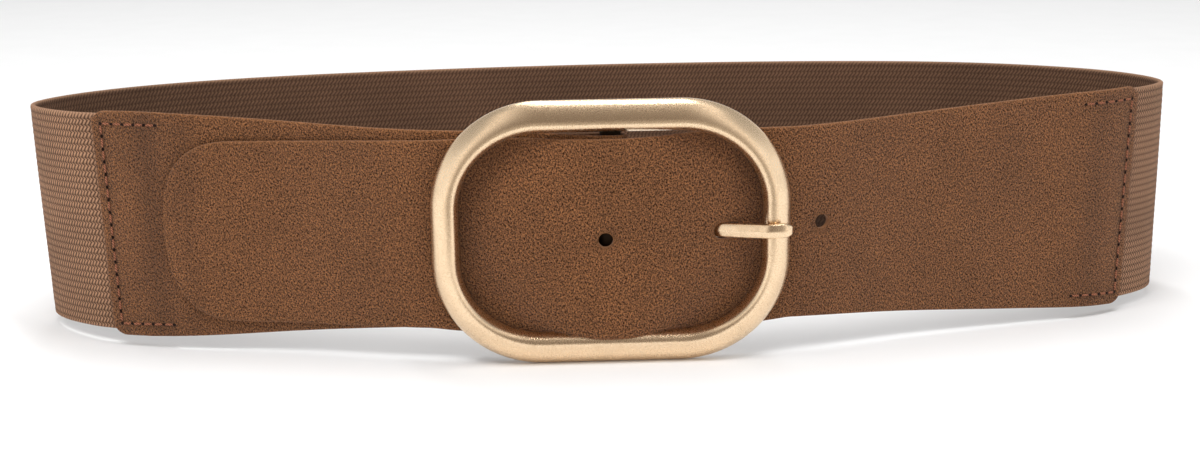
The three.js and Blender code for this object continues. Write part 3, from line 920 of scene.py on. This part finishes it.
@dataclass
class RingCasting:
    """The oval ring, domed in front with its crest nearer the opening, and the centre bar behind."""

    plan: LoopPlan
    sizes: BuckleSizes
    section_steps: int = 40
    corner_steps: int = 28
    back_squareness: float = 0.35
    crest_shift: float = 0.3
    dome_power: float = 1.45

    def section_point(self, angle: float) -> tuple[float, float]:
        """Offset across the bar and depth of one point of the section."""
        half, wall = self.sizes.ring_bar / 2, self.sizes.ring_wall
        dome = self.sizes.ring_depth - wall
        c, s = math.cos(angle), math.sin(angle)
        if s >= 0:
            return half * (c - self.crest_shift * (1 - c**2)), wall + dome * s**self.dome_power
        power = self.back_squareness
        return half * math.copysign(abs(c) ** power, c), wall * (1 - abs(s) ** power)

    def build(self, finish: bpy.types.Material) -> bpy.types.Object:
        """Sweeps the section round the rounded outline and adds the bar."""
        sizes = self.sizes
        cx = sizes.ring_width / 2 - sizes.ring_corner
        cz = sizes.ring_height / 2 - sizes.ring_corner
        shape = bmesh.new()
        made = bmesh.ops.create_circle(shape, segments=self.section_steps, radius=1.0)["verts"]
        for vert in made:
            across, depth = self.section_point(math.atan2(vert.co.y, vert.co.x))
            vert.co = Vector((sizes.ring_width / 2 - sizes.ring_bar / 2 + across, -depth, cz))
        leading: list = list(shape.verts) + list(shape.edges)
        corners = [(cx, cz), (-cx, cz), (-cx, -cz), (cx, -cz)]
        for (x, z), (next_x, next_z) in zip(corners, corners[1:] + corners[:1]):
            spun = bmesh.ops.spin(
                shape, geom=leading, cent=(x, 0, z), axis=(0, -1, 0), angle=math.pi / 2,
                steps=self.corner_steps,
            )
            edges = [item for item in spun["geom_last"] if isinstance(item, bmesh.types.BMEdge)]
            run = bmesh.ops.extrude_edge_only(shape, edges=edges)["geom"]
            verts = [item for item in run if isinstance(item, bmesh.types.BMVert)]
            bmesh.ops.translate(shape, vec=(next_x - x, 0, next_z - z), verts=verts)
            leading = verts + [item for item in run if isinstance(item, bmesh.types.BMEdge)]
        bmesh.ops.remove_doubles(shape, verts=shape.verts[:], dist=1e-3)
        bmesh.ops.recalc_face_normals(shape, faces=shape.faces[:])
        for vert in shape.verts:
            core = Vector((min(max(vert.co.x, -cx), cx), 0, min(max(vert.co.z, -cz), cz)))
            away = Vector((vert.co.x, 0, vert.co.z)) - core
            way = away.normalized()
            widening = 1 + (sizes.ring_bar_high / sizes.ring_bar - 1) * way.z**2
            inward = (sizes.ring_corner - away.length) * widening
            place = core + way * (sizes.ring_corner - inward)
            vert.co = Vector((place.x, vert.co.y - sizes.ring_back, place.z))
        self.add_bar(shape)
        for vert in shape.verts:
            vert.co = self.plan.on_front(vert.co.x, -vert.co.y, vert.co.z - sizes.ring_drop)
        piece = finished("ring_casting", shape, finish, 55)
        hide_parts("buckle_frame")
        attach(piece, "root")
        return piece

    def add_bar(self, shape: bmesh.types.BMesh) -> None:
        """Adds the centre bar, a flat rounded rod whose ends are inside the ring."""
        sizes = self.sizes
        length = sizes.ring_height - sizes.ring_bar_high
        marks = shape.verts.layers.float_color.new("marks")
        for vert in shape.verts:
            vert[marks] = (0.0, 0.0, 0.0, 1.0)
        rod = bmesh.ops.create_cone(
            shape, cap_ends=True, segments=24, radius1=0.5, radius2=0.5, depth=length
        )["verts"]
        for vert in rod:
            # The bar's second mark paints shade on it in the gold finish.
            vert[marks] = (0.0, 1.0, 0.0, 1.0)
            angle = math.atan2(vert.co.y, vert.co.x)
            c, s = math.cos(angle), math.sin(angle)
            vert.co.x = sizes.bar_width / 2 * math.copysign(abs(c) ** 0.6, c)
            vert.co.y = sizes.bar_depth / 2 * math.copysign(abs(s) ** 0.6, s) - sizes.bar_out


@dataclass
class Prong:
    """The prong: a ridged strip hooked round the bar, through the right panel and over the ring."""

    plan: LoopPlan
    sizes: BuckleSizes
    width: float = 3.8
    full: float = 2.2
    root: float = 1.2
    ridge: float = 0.6
    tip: float = 1.9
    tip_wall: float = 0.35
    tip_width: float = 0.45
    edge: float = 0.5
    # How far along the prong its root is painted with shade, and over what length that fades.
    hidden_to: float = 25.5
    hidden_fade: float = 3.0
    stations: tuple[tuple[float, float, float], ...] = (
        (0.1, 0, 0), (0.2, 0, 0), (0.3, 0, 0), (0.4, 0, 0.1), (0.52, 0, 0.3), (0.57, 0.02, 0.5),
        (0.64, 0.34, 0.9), (0.7, 0.57, 1), (0.78, 0.78, 1), (0.84, 0.905, 1), (0.88, 0.99, 1),
        (0.92, 1, 1), (0.96, 1, 1), (1, 0.985, 0.9),
    )

    def shank(self, share: float) -> tuple[float, float]:
        """Level and thickness share of the shank, smoothly between its stations."""
        table = self.stations
        i = max(min(sum(1 for row in table if row[0] <= share) - 1, len(table) - 2), 0)
        rows = [table[min(max(i + k, 0), len(table) - 1)] for k in (-1, 0, 1, 2)]
        t = min(max((share - rows[1][0]) / (rows[2][0] - rows[1][0]), 0.0), 1.0)

        def eased(column: int) -> float:
            a, b, c, d = (row[column] for row in rows)
            return b + 0.5 * t * (c - a + t * (2 * a - 5 * b + 4 * c - d + t * (3 * (b - c) + d - a)))

        return min(max(eased(1), 0.0), 1.0), min(max(eased(2), 0.0), 1.0)

    def points(self) -> list[tuple[float, float, float, float]]:
        """Stations as distance along, distance out, half wall and half width."""
        sizes = self.sizes
        radius = sizes.bar_depth / 2 + sizes.clearance + self.root / 2
        hook_at = sizes.bar_width / 2 - sizes.bar_depth / 2
        half, thin = self.width / 2, self.root / 2
        found = [(hook_at, sizes.bar_out - radius, thin, half)]
        for degrees in range(-90, 91, 15):
            turn = math.radians(degrees)
            across, out = radius * math.cos(turn), radius * math.sin(turn)
            found.append((-hook_at - across, sizes.bar_out + out, thin, half))
        length = sizes.prong_length
        start = self.plan.at(0).point.y
        shares = [i / 50 for i in range(5, 48)]
        rounding = map(math.radians, (0, 20, 40, 55, 70, 80, 90))
        shares += [1 - self.tip / length * (1 - math.sin(turn)) for turn in rounding]
        for share in shares:
            level, thick = self.shank(share)
            along = share * length
            wall = (self.root + (self.full - self.root) * thick) / 2
            receded = self.plan.point(along).y - start
            forward = sizes.bulge(along, sizes.prong_height(along)) - receded
            back = sizes.tongue_out + forward - sizes.strap / 2
            under = back - sizes.clearance - wall
            over = sizes.ring_back + sizes.ring_depth + sizes.clearance + wall
            into = max(1 - (length - along) / self.tip, 0.0)
            round_off = math.sqrt(max(1 - into**2, 0.0))
            dip = self.tip_wall * (1 - round_off) * wall
            found.append((
                along,
                under + (over - under) * level - dip,
                wall * (self.tip_wall + (1 - self.tip_wall) * round_off),
                half * (self.tip_width + (1 - self.tip_width) * round_off),
            ))
        return found

    def build(self, finish: bpy.types.Material) -> bpy.types.Object:
        """Makes the prong with a soft ridge along its front."""
        points = self.points()
        section = strip_section(8)

        def spot(i: int, j: int) -> Spot:
            along, middle, wall, half = points[i]
            side = section[j]
            edge = min(self.edge, wall * 0.6, half * 0.6)
            above = side.share * (half - edge) + side.rounding * edge
            before, after = points[max(i - 1, 0)], points[min(i + 1, len(points) - 1)]
            turn = Vector((-(after[1] - before[1]), after[0] - before[0])).normalized()
            out = side.wall * (wall - edge) + side.curl * edge
            if side.side is Side.OUTER:
                thick = (2 * wall - self.root) / (self.full - self.root)
                out -= self.ridge * max(thick, 0) * math.sqrt((above / half) ** 2 + 0.01)
            level = above + self.sizes.prong_height(along)
            position = self.plan.on_front(along + turn.x * out, middle + turn.y * out, level)
            # Painted shade on the root, up to where the prong leaves the panel.
            hidden_shade = 1 - smooth_step((along - self.hidden_to) / self.hidden_fade)
            return Spot(position, (along, above), (0.0, hidden_shade, 0.0, 1.0))

        piece = finished("prong_pin", wrapped(len(points), len(section), spot), finish, 50)
        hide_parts("prong")
        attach(piece, "root")
        return piece


# Finishes

Value = float | Sequence[float] | bpy.types.NodeSocket
Rgb = tuple[float, float, float]


def colour(red: int, green: int, blue: int) -> tuple[float, float, float, float]:
    """A screen colour of 0 to 255 as linear light."""
    def linear(value: int) -> float:
        share = value / 255
        return share / 12.92 if share <= 0.04045 else ((share + 0.055) / 1.055) ** 2.4

    return linear(red), linear(green), linear(blue), 1.0


class Graph:
    """Adds nodes to one tree and links them."""

    def __init__(self, tree: bpy.types.NodeTree) -> None:
        """Starts on a tree."""
        self.tree = tree

    def feed(self, socket: bpy.types.NodeSocket, value: Value) -> None:
        """Links a socket to another one, or sets its value."""
        if isinstance(value, bpy.types.NodeSocket):
            self.tree.links.new(value, socket)
        else:
            socket.default_value = value

    def put(self, kind: str, inputs: dict[str, Value] | None = None, **settings: object) -> bpy.types.Node:
        """Adds a node.

        Args:
            kind: the node's type, without the ShaderNode before it.
            inputs: values or sockets for its named inputs.
            settings: its properties.

        Returns:
            The node.
        """
        node = self.tree.nodes.new(f"ShaderNode{kind}")
        for name, value in settings.items():
            setattr(node, name, value)
        for name, value in (inputs or {}).items():
            self.feed(node.inputs[name], value)
        return node

    def math(self, operation: str, *values: Value, clamp: bool = False) -> bpy.types.NodeSocket:
        """A Math node's result."""
        node = self.put("Math", operation=operation, use_clamp=clamp)
        for socket, value in zip(node.inputs, values):
            self.feed(socket, value)
        return node.outputs[0]

    def mix(self, share: Value, first: Value, second: Value, blend: str = "MIX") -> bpy.types.NodeSocket:
        """A colour between two, or blended from them."""
        node = self.put("Mix", data_type="RGBA", blend_type=blend)
        for index, value in ((0, share), (6, first), (7, second)):
            self.feed(node.inputs[index], value)
        return node.outputs[2]

    def remap(
        self, value: Value, low: float, high: float, to_low: float = 0.0, to_high: float = 1.0
    ) -> bpy.types.NodeSocket:
        """A value moved from one range to another, clamped."""
        ends = {"From Min": low, "From Max": high, "To Min": to_low, "To Max": to_high}
        return self.put("MapRange", {"Value": value, **ends}).outputs[0]

    def grey(self, value: Value) -> bpy.types.NodeSocket:
        """A value as a grey colour."""
        return self.put("CombineColor", {"Red": value, "Green": value, "Blue": value}).outputs[0]

    def noise(
        self, vector: Value, scale: float, detail: float = 2.0, roughness: float = 0.5
    ) -> bpy.types.NodeSocket:
        """A noise texture's value."""
        inputs = {"Vector": vector, "Scale": scale, "Detail": detail, "Roughness": roughness}
        return self.put("TexNoise", inputs).outputs[0]

    def stretched(self, vector: Value, scale: Sequence[float], turn: float = 0.0) -> bpy.types.NodeSocket:
        """A vector turned in the cloth's plane and stretched."""
        inputs = {"Vector": vector, "Rotation": (0.0, 0.0, math.radians(turn)), "Scale": scale}
        return self.put("Mapping", inputs).outputs[0]


@dataclass
class EffectGroup:
    """A shader node group with named inputs and outputs, made once."""

    name: str
    inputs: dict[str, tuple[str, Value]]
    outputs: dict[str, str]
    fill: Callable[[Graph, dict[str, bpy.types.NodeSocket]], dict[str, bpy.types.NodeSocket]]

    def tree(self) -> bpy.types.NodeTree:
        """The group's tree, made at its first use."""
        known = bpy.data.node_groups.get(self.name)
        if known:
            return known
        tree = bpy.data.node_groups.new(self.name, "ShaderNodeTree")
        for name, (kind, default) in self.inputs.items():
            socket = tree.interface.new_socket(name, in_out="INPUT", socket_type=f"NodeSocket{kind}")
            if kind != "Vector":
                socket.default_value = default
        for name, kind in self.outputs.items():
            tree.interface.new_socket(name, in_out="OUTPUT", socket_type=f"NodeSocket{kind}")
        entry = tree.nodes.new("NodeGroupInput")
        leave = tree.nodes.new("NodeGroupOutput")
        graph = Graph(tree)
        results = self.fill(graph, {socket.name: socket for socket in entry.outputs if socket.name})
        for name, socket in results.items():
            tree.links.new(socket, leave.inputs[name])
        return tree

    def use(self, graph: Graph, **values: Value) -> dict[str, bpy.types.NodeSocket]:
        """Places the group in a material with its own values."""
        node = graph.put("Group", node_tree=self.tree())
        for name, value in values.items():
            graph.feed(node.inputs[name.replace("_", " ")], value)
        return {socket.name: socket for socket in node.outputs}


def fill_weave(graph: Graph, given: dict[str, bpy.types.NodeSocket]) -> dict[str, bpy.types.NodeSocket]:
    """Strands that lean one way for most of a row and turn back at its end."""
    parts = graph.put("SeparateXYZ", {"Vector": given["Cloth"]}).outputs
    sway = graph.noise(graph.stretched(given["Cloth"], (0.35, 0.35, 1.0)), 1.0)
    across = graph.math("ADD", parts[0], graph.math("MULTIPLY", graph.math("SUBTRACT", sway, 0.5), 0.7))
    row = graph.math("DIVIDE", parts[1], given["Row"])
    within = graph.math("FRACT", row)
    rise = graph.math("DIVIDE", within, 0.72)
    back = graph.math("DIVIDE", graph.math("SUBTRACT", 1.0, within), 0.28)
    zig = graph.math("MINIMUM", rise, back)
    lean = graph.math("MULTIPLY", zig, given["Lean"])
    phase = graph.math("SUBTRACT", graph.math("DIVIDE", across, given["Strand"]), lean)
    phase = graph.math("ADD", phase, graph.math("MULTIPLY", row, given["Drift"]))
    wave = graph.math("COSINE", graph.math("MULTIPLY", phase, math.tau))
    strand = graph.math("POWER", graph.math("MULTIPLY_ADD", wave, 0.5, 0.5), 0.8)
    crown = graph.math("SINE", graph.math("MULTIPLY", within, math.pi))
    crown = graph.math("POWER", crown, 0.6)
    height = graph.math("MULTIPLY", strand, graph.math("MULTIPLY_ADD", crown, 0.75, 0.25))
    return {"Strand": height}


WEAVE = EffectGroup(
    "weave",
    {
        "Cloth": ("Vector", (0, 0, 0)),
        "Row": ("Float", 1.78),
        "Strand": ("Float", 1.15),
        "Lean": ("Float", 0.7),
        "Drift": ("Float", 0.0),
    },
    {"Strand": "Float"},
    fill_weave,
)


def fill_nap(graph: Graph, given: dict[str, bpy.types.NodeSocket]) -> dict[str, bpy.types.NodeSocket]:
    """Short leaning crumbs of nap, and slow patches where it was brushed."""
    stir = graph.noise(graph.stretched(given["Cloth"], (0.12, 0.12, 1.0)), 1.0, 1.0)
    lean = graph.stretched(given["Cloth"], (1.0, 0.55, 1.0), 32.0)
    crumb = graph.noise(lean, given["Fineness"], 2.0, 0.6)
    across = graph.stretched(given["Cloth"], (0.6, 1.0, 1.0), 20.0)
    other = graph.noise(across, given["Fineness"], 2.0, 0.6)
    mixed = graph.math("MAXIMUM", crumb, graph.math("MULTIPLY", other, 0.96))
    crumbs = graph.remap(mixed, 0.45, 0.66)
    patch = graph.noise(graph.stretched(given["Cloth"], (0.045, 0.03, 1.0), 12.0), 1.0, 3.0, 0.55)
    patch = graph.remap(graph.math("MULTIPLY_ADD", stir, 0.25, patch), 0.4, 0.85)
    return {"Crumbs": crumbs, "Patch": patch}


NAP = EffectGroup(
    "nap",
    {"Cloth": ("Vector", (0, 0, 0)), "Fineness": ("Float", 3.1)},
    {"Crumbs": "Float", "Patch": "Float"},
    fill_nap,
)


def fill_speckle(graph: Graph, given: dict[str, bpy.types.NodeSocket]) -> dict[str, bpy.types.NodeSocket]:
    """Fine satin speckle with slow clouds in it."""
    fine = graph.noise(given["Place"], given["Fineness"], 3.0, 0.7)
    clouds = graph.noise(given["Place"], 220.0, 2.0, 0.5)
    return {"Speckle": fine, "Clouds": clouds}


SPECKLE = EffectGroup(
    "speckle",
    {"Place": ("Vector", (0, 0, 0)), "Fineness": ("Float", 3400.0)},
    {"Speckle": "Float", "Clouds": "Float"},
    fill_speckle,
)


def new_material(name: str) -> tuple[bpy.types.Material, Graph, bpy.types.Node]:
    """An empty material with its shader and output."""
    material = bpy.data.materials.new(name)
    material.use_nodes = True
    material.node_tree.nodes.clear()
    graph = Graph(material.node_tree)
    shader = graph.put("BsdfPrincipled")
    graph.put("OutputMaterial", {"Surface": shader.outputs[0]})
    return material, graph, shader


@dataclass(frozen=True)
class ElasticFinish:
    """Matt woven elastic: pale leaning strands outside, darker twill inside, with painted shade darkening the
    inner face towards its lower edge.
    """

    pale: Rgb = (184, 141, 111)
    gap: Rgb = (62, 40, 27)
    inner_pale: Rgb = (114, 84, 64)
    inner_gap: Rgb = (70, 49, 36)
    rim: Rgb = (160, 124, 98)
    # Colour of the painted shade on the lower inner face.
    painted_lower_shade: Rgb = (30, 20, 14)
    row: float = 1.78
    strand: float = 1.15
    bump: float = 0.00022

    def material(self) -> bpy.types.Material:
        """Builds the material."""
        material, graph, shader = new_material("elastic_weave")
        cloth = graph.put("UVMap", uv_map="cloth").outputs[0]
        marks = graph.put("Attribute", attribute_name="marks").outputs
        rim = graph.put("SeparateColor", {"Color": marks["Color"]}).outputs[0]
        outer = WEAVE.use(graph, Cloth=cloth, Row=self.row, Strand=self.strand, Lean=0.75)
        inner = WEAVE.use(graph, Cloth=cloth, Row=self.row, Strand=1.18, Lean=-0.35, Drift=0.7)
        fuzz = graph.noise(cloth, 3.5, 3.0, 0.7)
        shade = graph.noise(graph.stretched(cloth, (0.03, 0.05, 1.0)), 1.0, 2.0)

        def tinted(strand: bpy.types.NodeSocket, gap: Rgb, pale: Rgb) -> bpy.types.NodeSocket:
            frayed = graph.math("SUBTRACT", fuzz, 0.5)
            share = graph.math("MULTIPLY_ADD", frayed, 0.7, strand, clamp=True)
            return graph.mix(share, colour(*gap), colour(*pale))

        outside = tinted(outer["Strand"], self.gap, self.pale)
        inside = tinted(inner["Strand"], self.inner_gap, self.inner_pale)
        above = graph.put("SeparateXYZ", {"Vector": cloth}).outputs[1]
        # Painted shade: the inner face darkens by up to 92% towards its lower edge.
        inside = graph.mix(graph.remap(above, -28.0, 0.0, 0.92, 0.0), inside, colour(*self.painted_lower_shade))
        face = graph.mix(marks["Alpha"], inside, outside)
        face = graph.mix(graph.math("MULTIPLY", rim, 0.6), face, colour(*self.rim))
        tone = graph.grey(graph.remap(shade, 0.3, 0.7, 0.88, 1.1))
        graph.feed(shader.inputs["Base Color"], graph.mix(1.0, face, tone, "MULTIPLY"))
        sides = {"Factor": marks["Alpha"], "A": inner["Strand"], "B": outer["Strand"]}
        height = graph.put("Mix", sides).outputs[0]
        height = graph.math("MULTIPLY_ADD", fuzz, 0.35, height)
        bump = graph.put("Bump", {"Height": height, "Distance": self.bump, "Strength": 0.9})
        graph.feed(shader.inputs["Normal"], bump.outputs[0])
        shader.inputs["Roughness"].default_value = 0.88
        shader.inputs["Specular IOR Level"].default_value = 0.2
        return material


@dataclass(frozen=True)
class SuedeFinish:
    """Brushed suede: leaning crumbs of nap, brushed patches, pale cut edges, and painted shade along the
    pressed seams, round the holes, beside the ring and near the panels' ends.
    """

    dark: Rgb = (40, 19, 7)
    middle: Rgb = (106, 65, 34)
    pale: Rgb = (184, 123, 76)
    edge: Rgb = (148, 98, 58)
    inside: Rgb = (100, 65, 40)
    # Colour of the painted shade.
    shade: Rgb = (50, 27, 12)
    bump: float = 0.0004
    evening: float = 0.1
    shade_share: float = 0.4
    # Share of painted shade along the pressed seams and round the holes.
    press_shade_share: float = 0.35
    edge_share: float = 0.55

    def material(self) -> bpy.types.Material:
        """Builds the material."""
        material, graph, shader = new_material("brushed_suede")
        cloth = graph.put("UVMap", uv_map="cloth").outputs[0]
        marks = graph.put("Attribute", attribute_name="marks").outputs
        rim, pressed, shaded = graph.put("SeparateColor", {"Color": marks["Color"]}).outputs[:3]
        nap = NAP.use(graph, Cloth=cloth, Fineness=3.1)
        ground = graph.mix(nap["Crumbs"], colour(*self.dark), colour(*self.pale))
        ground = graph.mix(self.evening, ground, colour(*self.middle))
        tone = graph.grey(graph.remap(nap["Patch"], 0.0, 1.0, 0.86, 1.12))
        ground = graph.mix(1.0, ground, tone, "MULTIPLY")
        # Painted shade beside the ring and near the panels' ends.
        ground = graph.mix(graph.math("MULTIPLY", shaded, self.shade_share), ground, colour(*self.shade))
        # Painted shade along the pressed seams and round the holes.
        ground = graph.mix(graph.math("MULTIPLY", pressed, self.press_shade_share), ground, colour(*self.shade))
        ground = graph.mix(graph.math("MULTIPLY", rim, self.edge_share), ground, colour(*self.edge))
        graph.feed(shader.inputs["Base Color"], graph.mix(marks["Alpha"], colour(*self.inside), ground))
        height = graph.math("MULTIPLY_ADD", nap["Patch"], 0.4, nap["Crumbs"])
        bump = graph.put("Bump", {"Height": height, "Distance": self.bump, "Strength": 0.85})
        graph.feed(shader.inputs["Normal"], bump.outputs[0])
        shader.inputs["Roughness"].default_value = 0.93
        shader.inputs["Specular IOR Level"].default_value = 0.12
        shader.inputs["Sheen Weight"].default_value = 0.12
        shader.inputs["Sheen Roughness"].default_value = 0.45
        return material


@dataclass(frozen=True)
class GoldFinish:
    """Satin pale gold plating with a fine speckle, and painted shade, dark and dull, on the centre bar and
    the prong's root.
    """

    tint: Rgb = (252, 224, 189)
    dull: Rgb = (228, 199, 163)
    # Colour of the painted shade on the bar and the prong's root.
    hidden_shade: Rgb = (48, 38, 30)
    roughness: tuple[float, float] = (0.2, 0.36)
    bump: float = 0.000018
    fine_share: float = 0.85
    hidden_roughness: float = 0.6

    def material(self) -> bpy.types.Material:
        """Builds the material."""
        material, graph, shader = new_material("pale_gold_satin")
        place = graph.put("TexCoord").outputs["Object"]
        speckle = SPECKLE.use(graph, Place=place, Fineness=3400.0)
        clouds = graph.math("MULTIPLY", speckle["Clouds"], 1 - self.fine_share)
        share = graph.math("MULTIPLY_ADD", speckle["Speckle"], self.fine_share, clouds)
        plated = graph.mix(graph.remap(share, 0.35, 0.65), colour(*self.tint), colour(*self.dull))
        # Painted shade: the marks' second channel darkens and dulls the bar and the prong's root.
        marks = graph.put("Attribute", attribute_name="marks").outputs["Color"]
        hidden_shade = graph.put("SeparateColor", {"Color": marks}).outputs[1]
        graph.feed(shader.inputs["Base Color"], graph.mix(hidden_shade, plated, colour(*self.hidden_shade)))
        rough = graph.remap(share, 0.3, 0.7, *self.roughness)
        rough = graph.math("MAXIMUM", rough, graph.math("MULTIPLY", hidden_shade, self.hidden_roughness))
        graph.feed(shader.inputs["Roughness"], rough)
        bump = graph.put("Bump", {"Height": speckle["Speckle"], "Distance": self.bump, "Strength": 0.6})
        graph.feed(shader.inputs["Normal"], bump.outputs[0])
        shader.inputs["Metallic"].default_value = 1.0
        return material


@dataclass(frozen=True)
class ThreadFinish:
    """Twisted sewing thread, or the painted shade of a needle hole."""

    name: str
    dark: Rgb
    pale: Rgb

    def material(self) -> bpy.types.Material:
        """Builds the material."""
        material, graph, shader = new_material(self.name)
        place = graph.put("TexCoord").outputs["Object"]
        twist = {"Vector": place, "Scale": 900.0, "Distortion": 2.0}
        ply = graph.put("TexWave", twist, bands_direction="DIAGONAL").outputs[0]
        tint = graph.mix(ply, colour(*self.dark), colour(*self.pale))
        graph.feed(shader.inputs["Base Color"], tint)
        shader.inputs["Roughness"].default_value = 0.8
        shader.inputs["Specular IOR Level"].default_value = 0.2
        return material


# Studio


@dataclass(frozen=True)
class Lamp:
    """A soft rectangular light, which the metal mirrors or not."""

    name: str
    place: tuple[float, float, float]
    aim: tuple[float, float, float]
    size: tuple[float, float]
    power: float
    mirrored: bool


@dataclass
class Studio:
    """Pale floor, soft light and the camera at the photograph's angle."""

    plan: LoopPlan
    elevation: float = 12.77
    azimuth: float = -2.58
    roll: float = 0.77
    distance: float = 540.0
    target: tuple[float, float, float] = (0.0, 58.1, 19.9)
    focal: float = 1856.7
    image_width: int = 1200
    floor: float = 5.0
    lamps: tuple[Lamp, ...] = (
        Lamp("key", (-0.35, -0.75, 1.4), (0, -0.05, 0.03), (1.0, 0.7), 15.0, False),
        Lamp("top", (0.1, 0.05, 1.6), (0, 0, 0), (1.6, 0.14), 13.0, True),
    )
    room: tuple[tuple[float, float], ...] = (
        (0.0, 0.9), (0.48, 1.1), (0.6, 1.1), (0.72, 0.6), (0.85, 0.45), (0.93, 0.42), (1.0, 0.4),
    )
    # Rows, half width, side fade and glow colours of the card that paints reflections.
    card_rows: tuple[tuple[float, float], ...] = ((-0.15, 0.001), (-0.3, 0.001), (-0.3, 0.3), (-0.11, 0.46))
    card_half_width: float = 0.24
    card_fade: tuple[float, float] = (0.06, 0.2)
    card_dark: tuple[float, ...] = (0.2, 0.165, 0.14, 1.0)
    card_pale: tuple[float, ...] = (0.42, 0.38, 0.34, 1.0)
    card_bright: tuple[float, ...] = (1.15, 1.1, 1.05, 1.0)

    def camera(self) -> None:
        """Places the camera as the photograph has it."""
        rise, turn = math.radians(self.elevation), math.radians(self.azimuth)
        back = Vector((math.sin(turn) * math.cos(rise), -math.cos(turn) * math.cos(rise), math.sin(rise)))
        right = Vector((math.cos(turn), math.sin(turn), 0))
        up = back.cross(right)
        axes = Matrix((right, up, back)).transposed() @ Matrix.Rotation(-math.radians(self.roll), 3, "Z")
        data = bpy.data.cameras.new("camera")
        data.sensor_width = 36.0
        data.sensor_fit = "HORIZONTAL"
        data.lens = self.focal / self.image_width * data.sensor_width
        data.clip_start = 0.01
        eye = bpy.data.objects.new("camera", data)
        bpy.context.collection.objects.link(eye)
        place = axes.to_4x4()
        place.translation = self.plan.packed(*self.target) + back * self.distance * MM
        eye.matrix_world = place
        bpy.context.scene.camera = eye

    def build_floor(self) -> None:
        """A wide pale floor under the belt."""
        material, graph, shader = new_material("pale_floor")
        place = graph.put("TexCoord").outputs["Object"]
        tone = graph.remap(graph.noise(place, 40.0, 2.0), 0.2, 0.8, 0.86, 0.88)
        graph.feed(shader.inputs["Base Color"], graph.grey(tone))
        shader.inputs["Roughness"].default_value = 0.9
        shape = bmesh.new()
        bmesh.ops.create_grid(shape, x_segments=8, y_segments=8, size=self.floor)
        bmesh.ops.translate(shape, vec=(0, 0, -0.0001), verts=shape.verts[:])
        finished("floor", shape, material)

    def light(self, lamp: Lamp) -> None:
        """Adds one lamp, turned to the point that it faces."""
        data = bpy.data.lights.new(lamp.name, "AREA")
        data.shape = "RECTANGLE"
        data.size, data.size_y = lamp.size
        data.energy = lamp.power
        holder = bpy.data.objects.new(lamp.name, data)
        bpy.context.collection.objects.link(holder)
        place = Vector(lamp.place)
        turn = (place - Vector(lamp.aim)).to_track_quat("Z", "Y").to_matrix().to_4x4()
        holder.visible_glossy = lamp.mirrored
        holder.matrix_world = Matrix.Translation(place) @ turn

    def card(self) -> None:
        """A glowing card before the belt, dark in its middle and brighter than white at its sides, which only
        reflections see: painted reflections, chiefly for the metal.
        """
        material, graph, shader = new_material("dark_card")
        graph.feed(shader.inputs["Base Color"], (0.0, 0.0, 0.0, 1.0))
        place = graph.put("TexCoord").outputs["Object"]
        parts = graph.put("SeparateXYZ", {"Vector": place}).outputs
        low = graph.remap(parts[2], 0.0, 0.05, 1.0, 0.0)
        tone = graph.mix(low, self.card_dark, self.card_pale)
        aside = graph.remap(graph.math("ABSOLUTE", parts[0]), *self.card_fade)
        # The card glows, though it is no lamp.
        graph.feed(shader.inputs["Emission Color"], graph.mix(aside, tone, self.card_bright))
        shader.inputs["Emission Strength"].default_value = 1.0
        shape = bmesh.new()
        bmesh.ops.create_grid(shape, x_segments=2, y_segments=len(self.card_rows) - 1, size=1.0)
        for vert in shape.verts:
            row = self.card_rows[round((vert.co.y + 1) / 2 * (len(self.card_rows) - 1))]
            vert.co.x *= self.card_half_width
            vert.co.y, vert.co.z = row
        piece = finished("dark_card", shape, material)
        for ray in ("camera", "diffuse", "transmission", "volume_scatter", "shadow"):
            setattr(piece, f"visible_{ray}", False)

    def surround(self) -> None:
        """A room that is bright round the horizon and dimmer overhead."""
        world = bpy.data.worlds.new("studio")
        world.use_nodes = True
        world.node_tree.nodes.clear()
        graph = Graph(world.node_tree)
        way = graph.put("TexCoord").outputs["Generated"]
        up = graph.put("SeparateXYZ", {"Vector": way}).outputs[2]
        ramp = graph.put("ValToRGB", {"Fac": graph.math("MULTIPLY_ADD", up, 0.5, 0.5)})
        elements = ramp.color_ramp.elements
        while len(elements) < len(self.room):
            elements.new(1.0)
        for element, (where, tone) in zip(elements, self.room):
            element.position = where
            element.color = (tone, tone, tone, 1.0)
        light = graph.put("Background", {"Color": ramp.outputs[0], "Strength": 1.0})
        graph.put("OutputWorld", {"Surface": light.outputs[0]})
        bpy.context.scene.world = world

    def build(self) -> None:
        """Sets the whole studio."""
        self.camera()
        self.build_floor()
        self.surround()
        self.card()
        for lamp in self.lamps:
            self.light(lamp)
        bpy.context.scene.view_settings.view_transform = "Standard"
        log.info("studio: camera %.1f mm lens", bpy.context.scene.camera.data.lens)


def main() -> None:
    """Builds the belt piece by piece, then the studio."""
    logging.basicConfig(level=logging.INFO, format="%(name)s: %(message)s")
    plan = LoopPlan()
    sizes = BuckleSizes()
    log.info("loop of %.1f mm, origin %s", plan.length, [round(value, 5) for value in plan.origin])
    Studio(plan).build()
    suede = SuedeFinish().material()
    gold = GoldFinish().material()
    ElasticBand(plan).build(ElasticFinish().material())
    left = BucklePanel(plan, sizes)
    right = TonguePanel(plan, sizes)
    left.build(suede)
    right.build(suede)
    thread = ThreadFinish("sewing_thread", (92, 52, 36), (168, 110, 82)).material()
    # Painted shade colour for the needle holes.
    needle = ThreadFinish("needle_hole_dark", (24, 14, 9), (40, 24, 16)).material()
    for name, panel, way in (("left_seam", left, -1), ("right_seam", right, 1)):
        seam = Stitching(name, panel, SeamLine(panel.outline), way)
        seam.threads(thread)
        seam.needle_holes(needle)
    RingCasting(plan, sizes).build(gold)
    Prong(plan, sizes).build(gold)


if __name__ == "__main__":
    main()
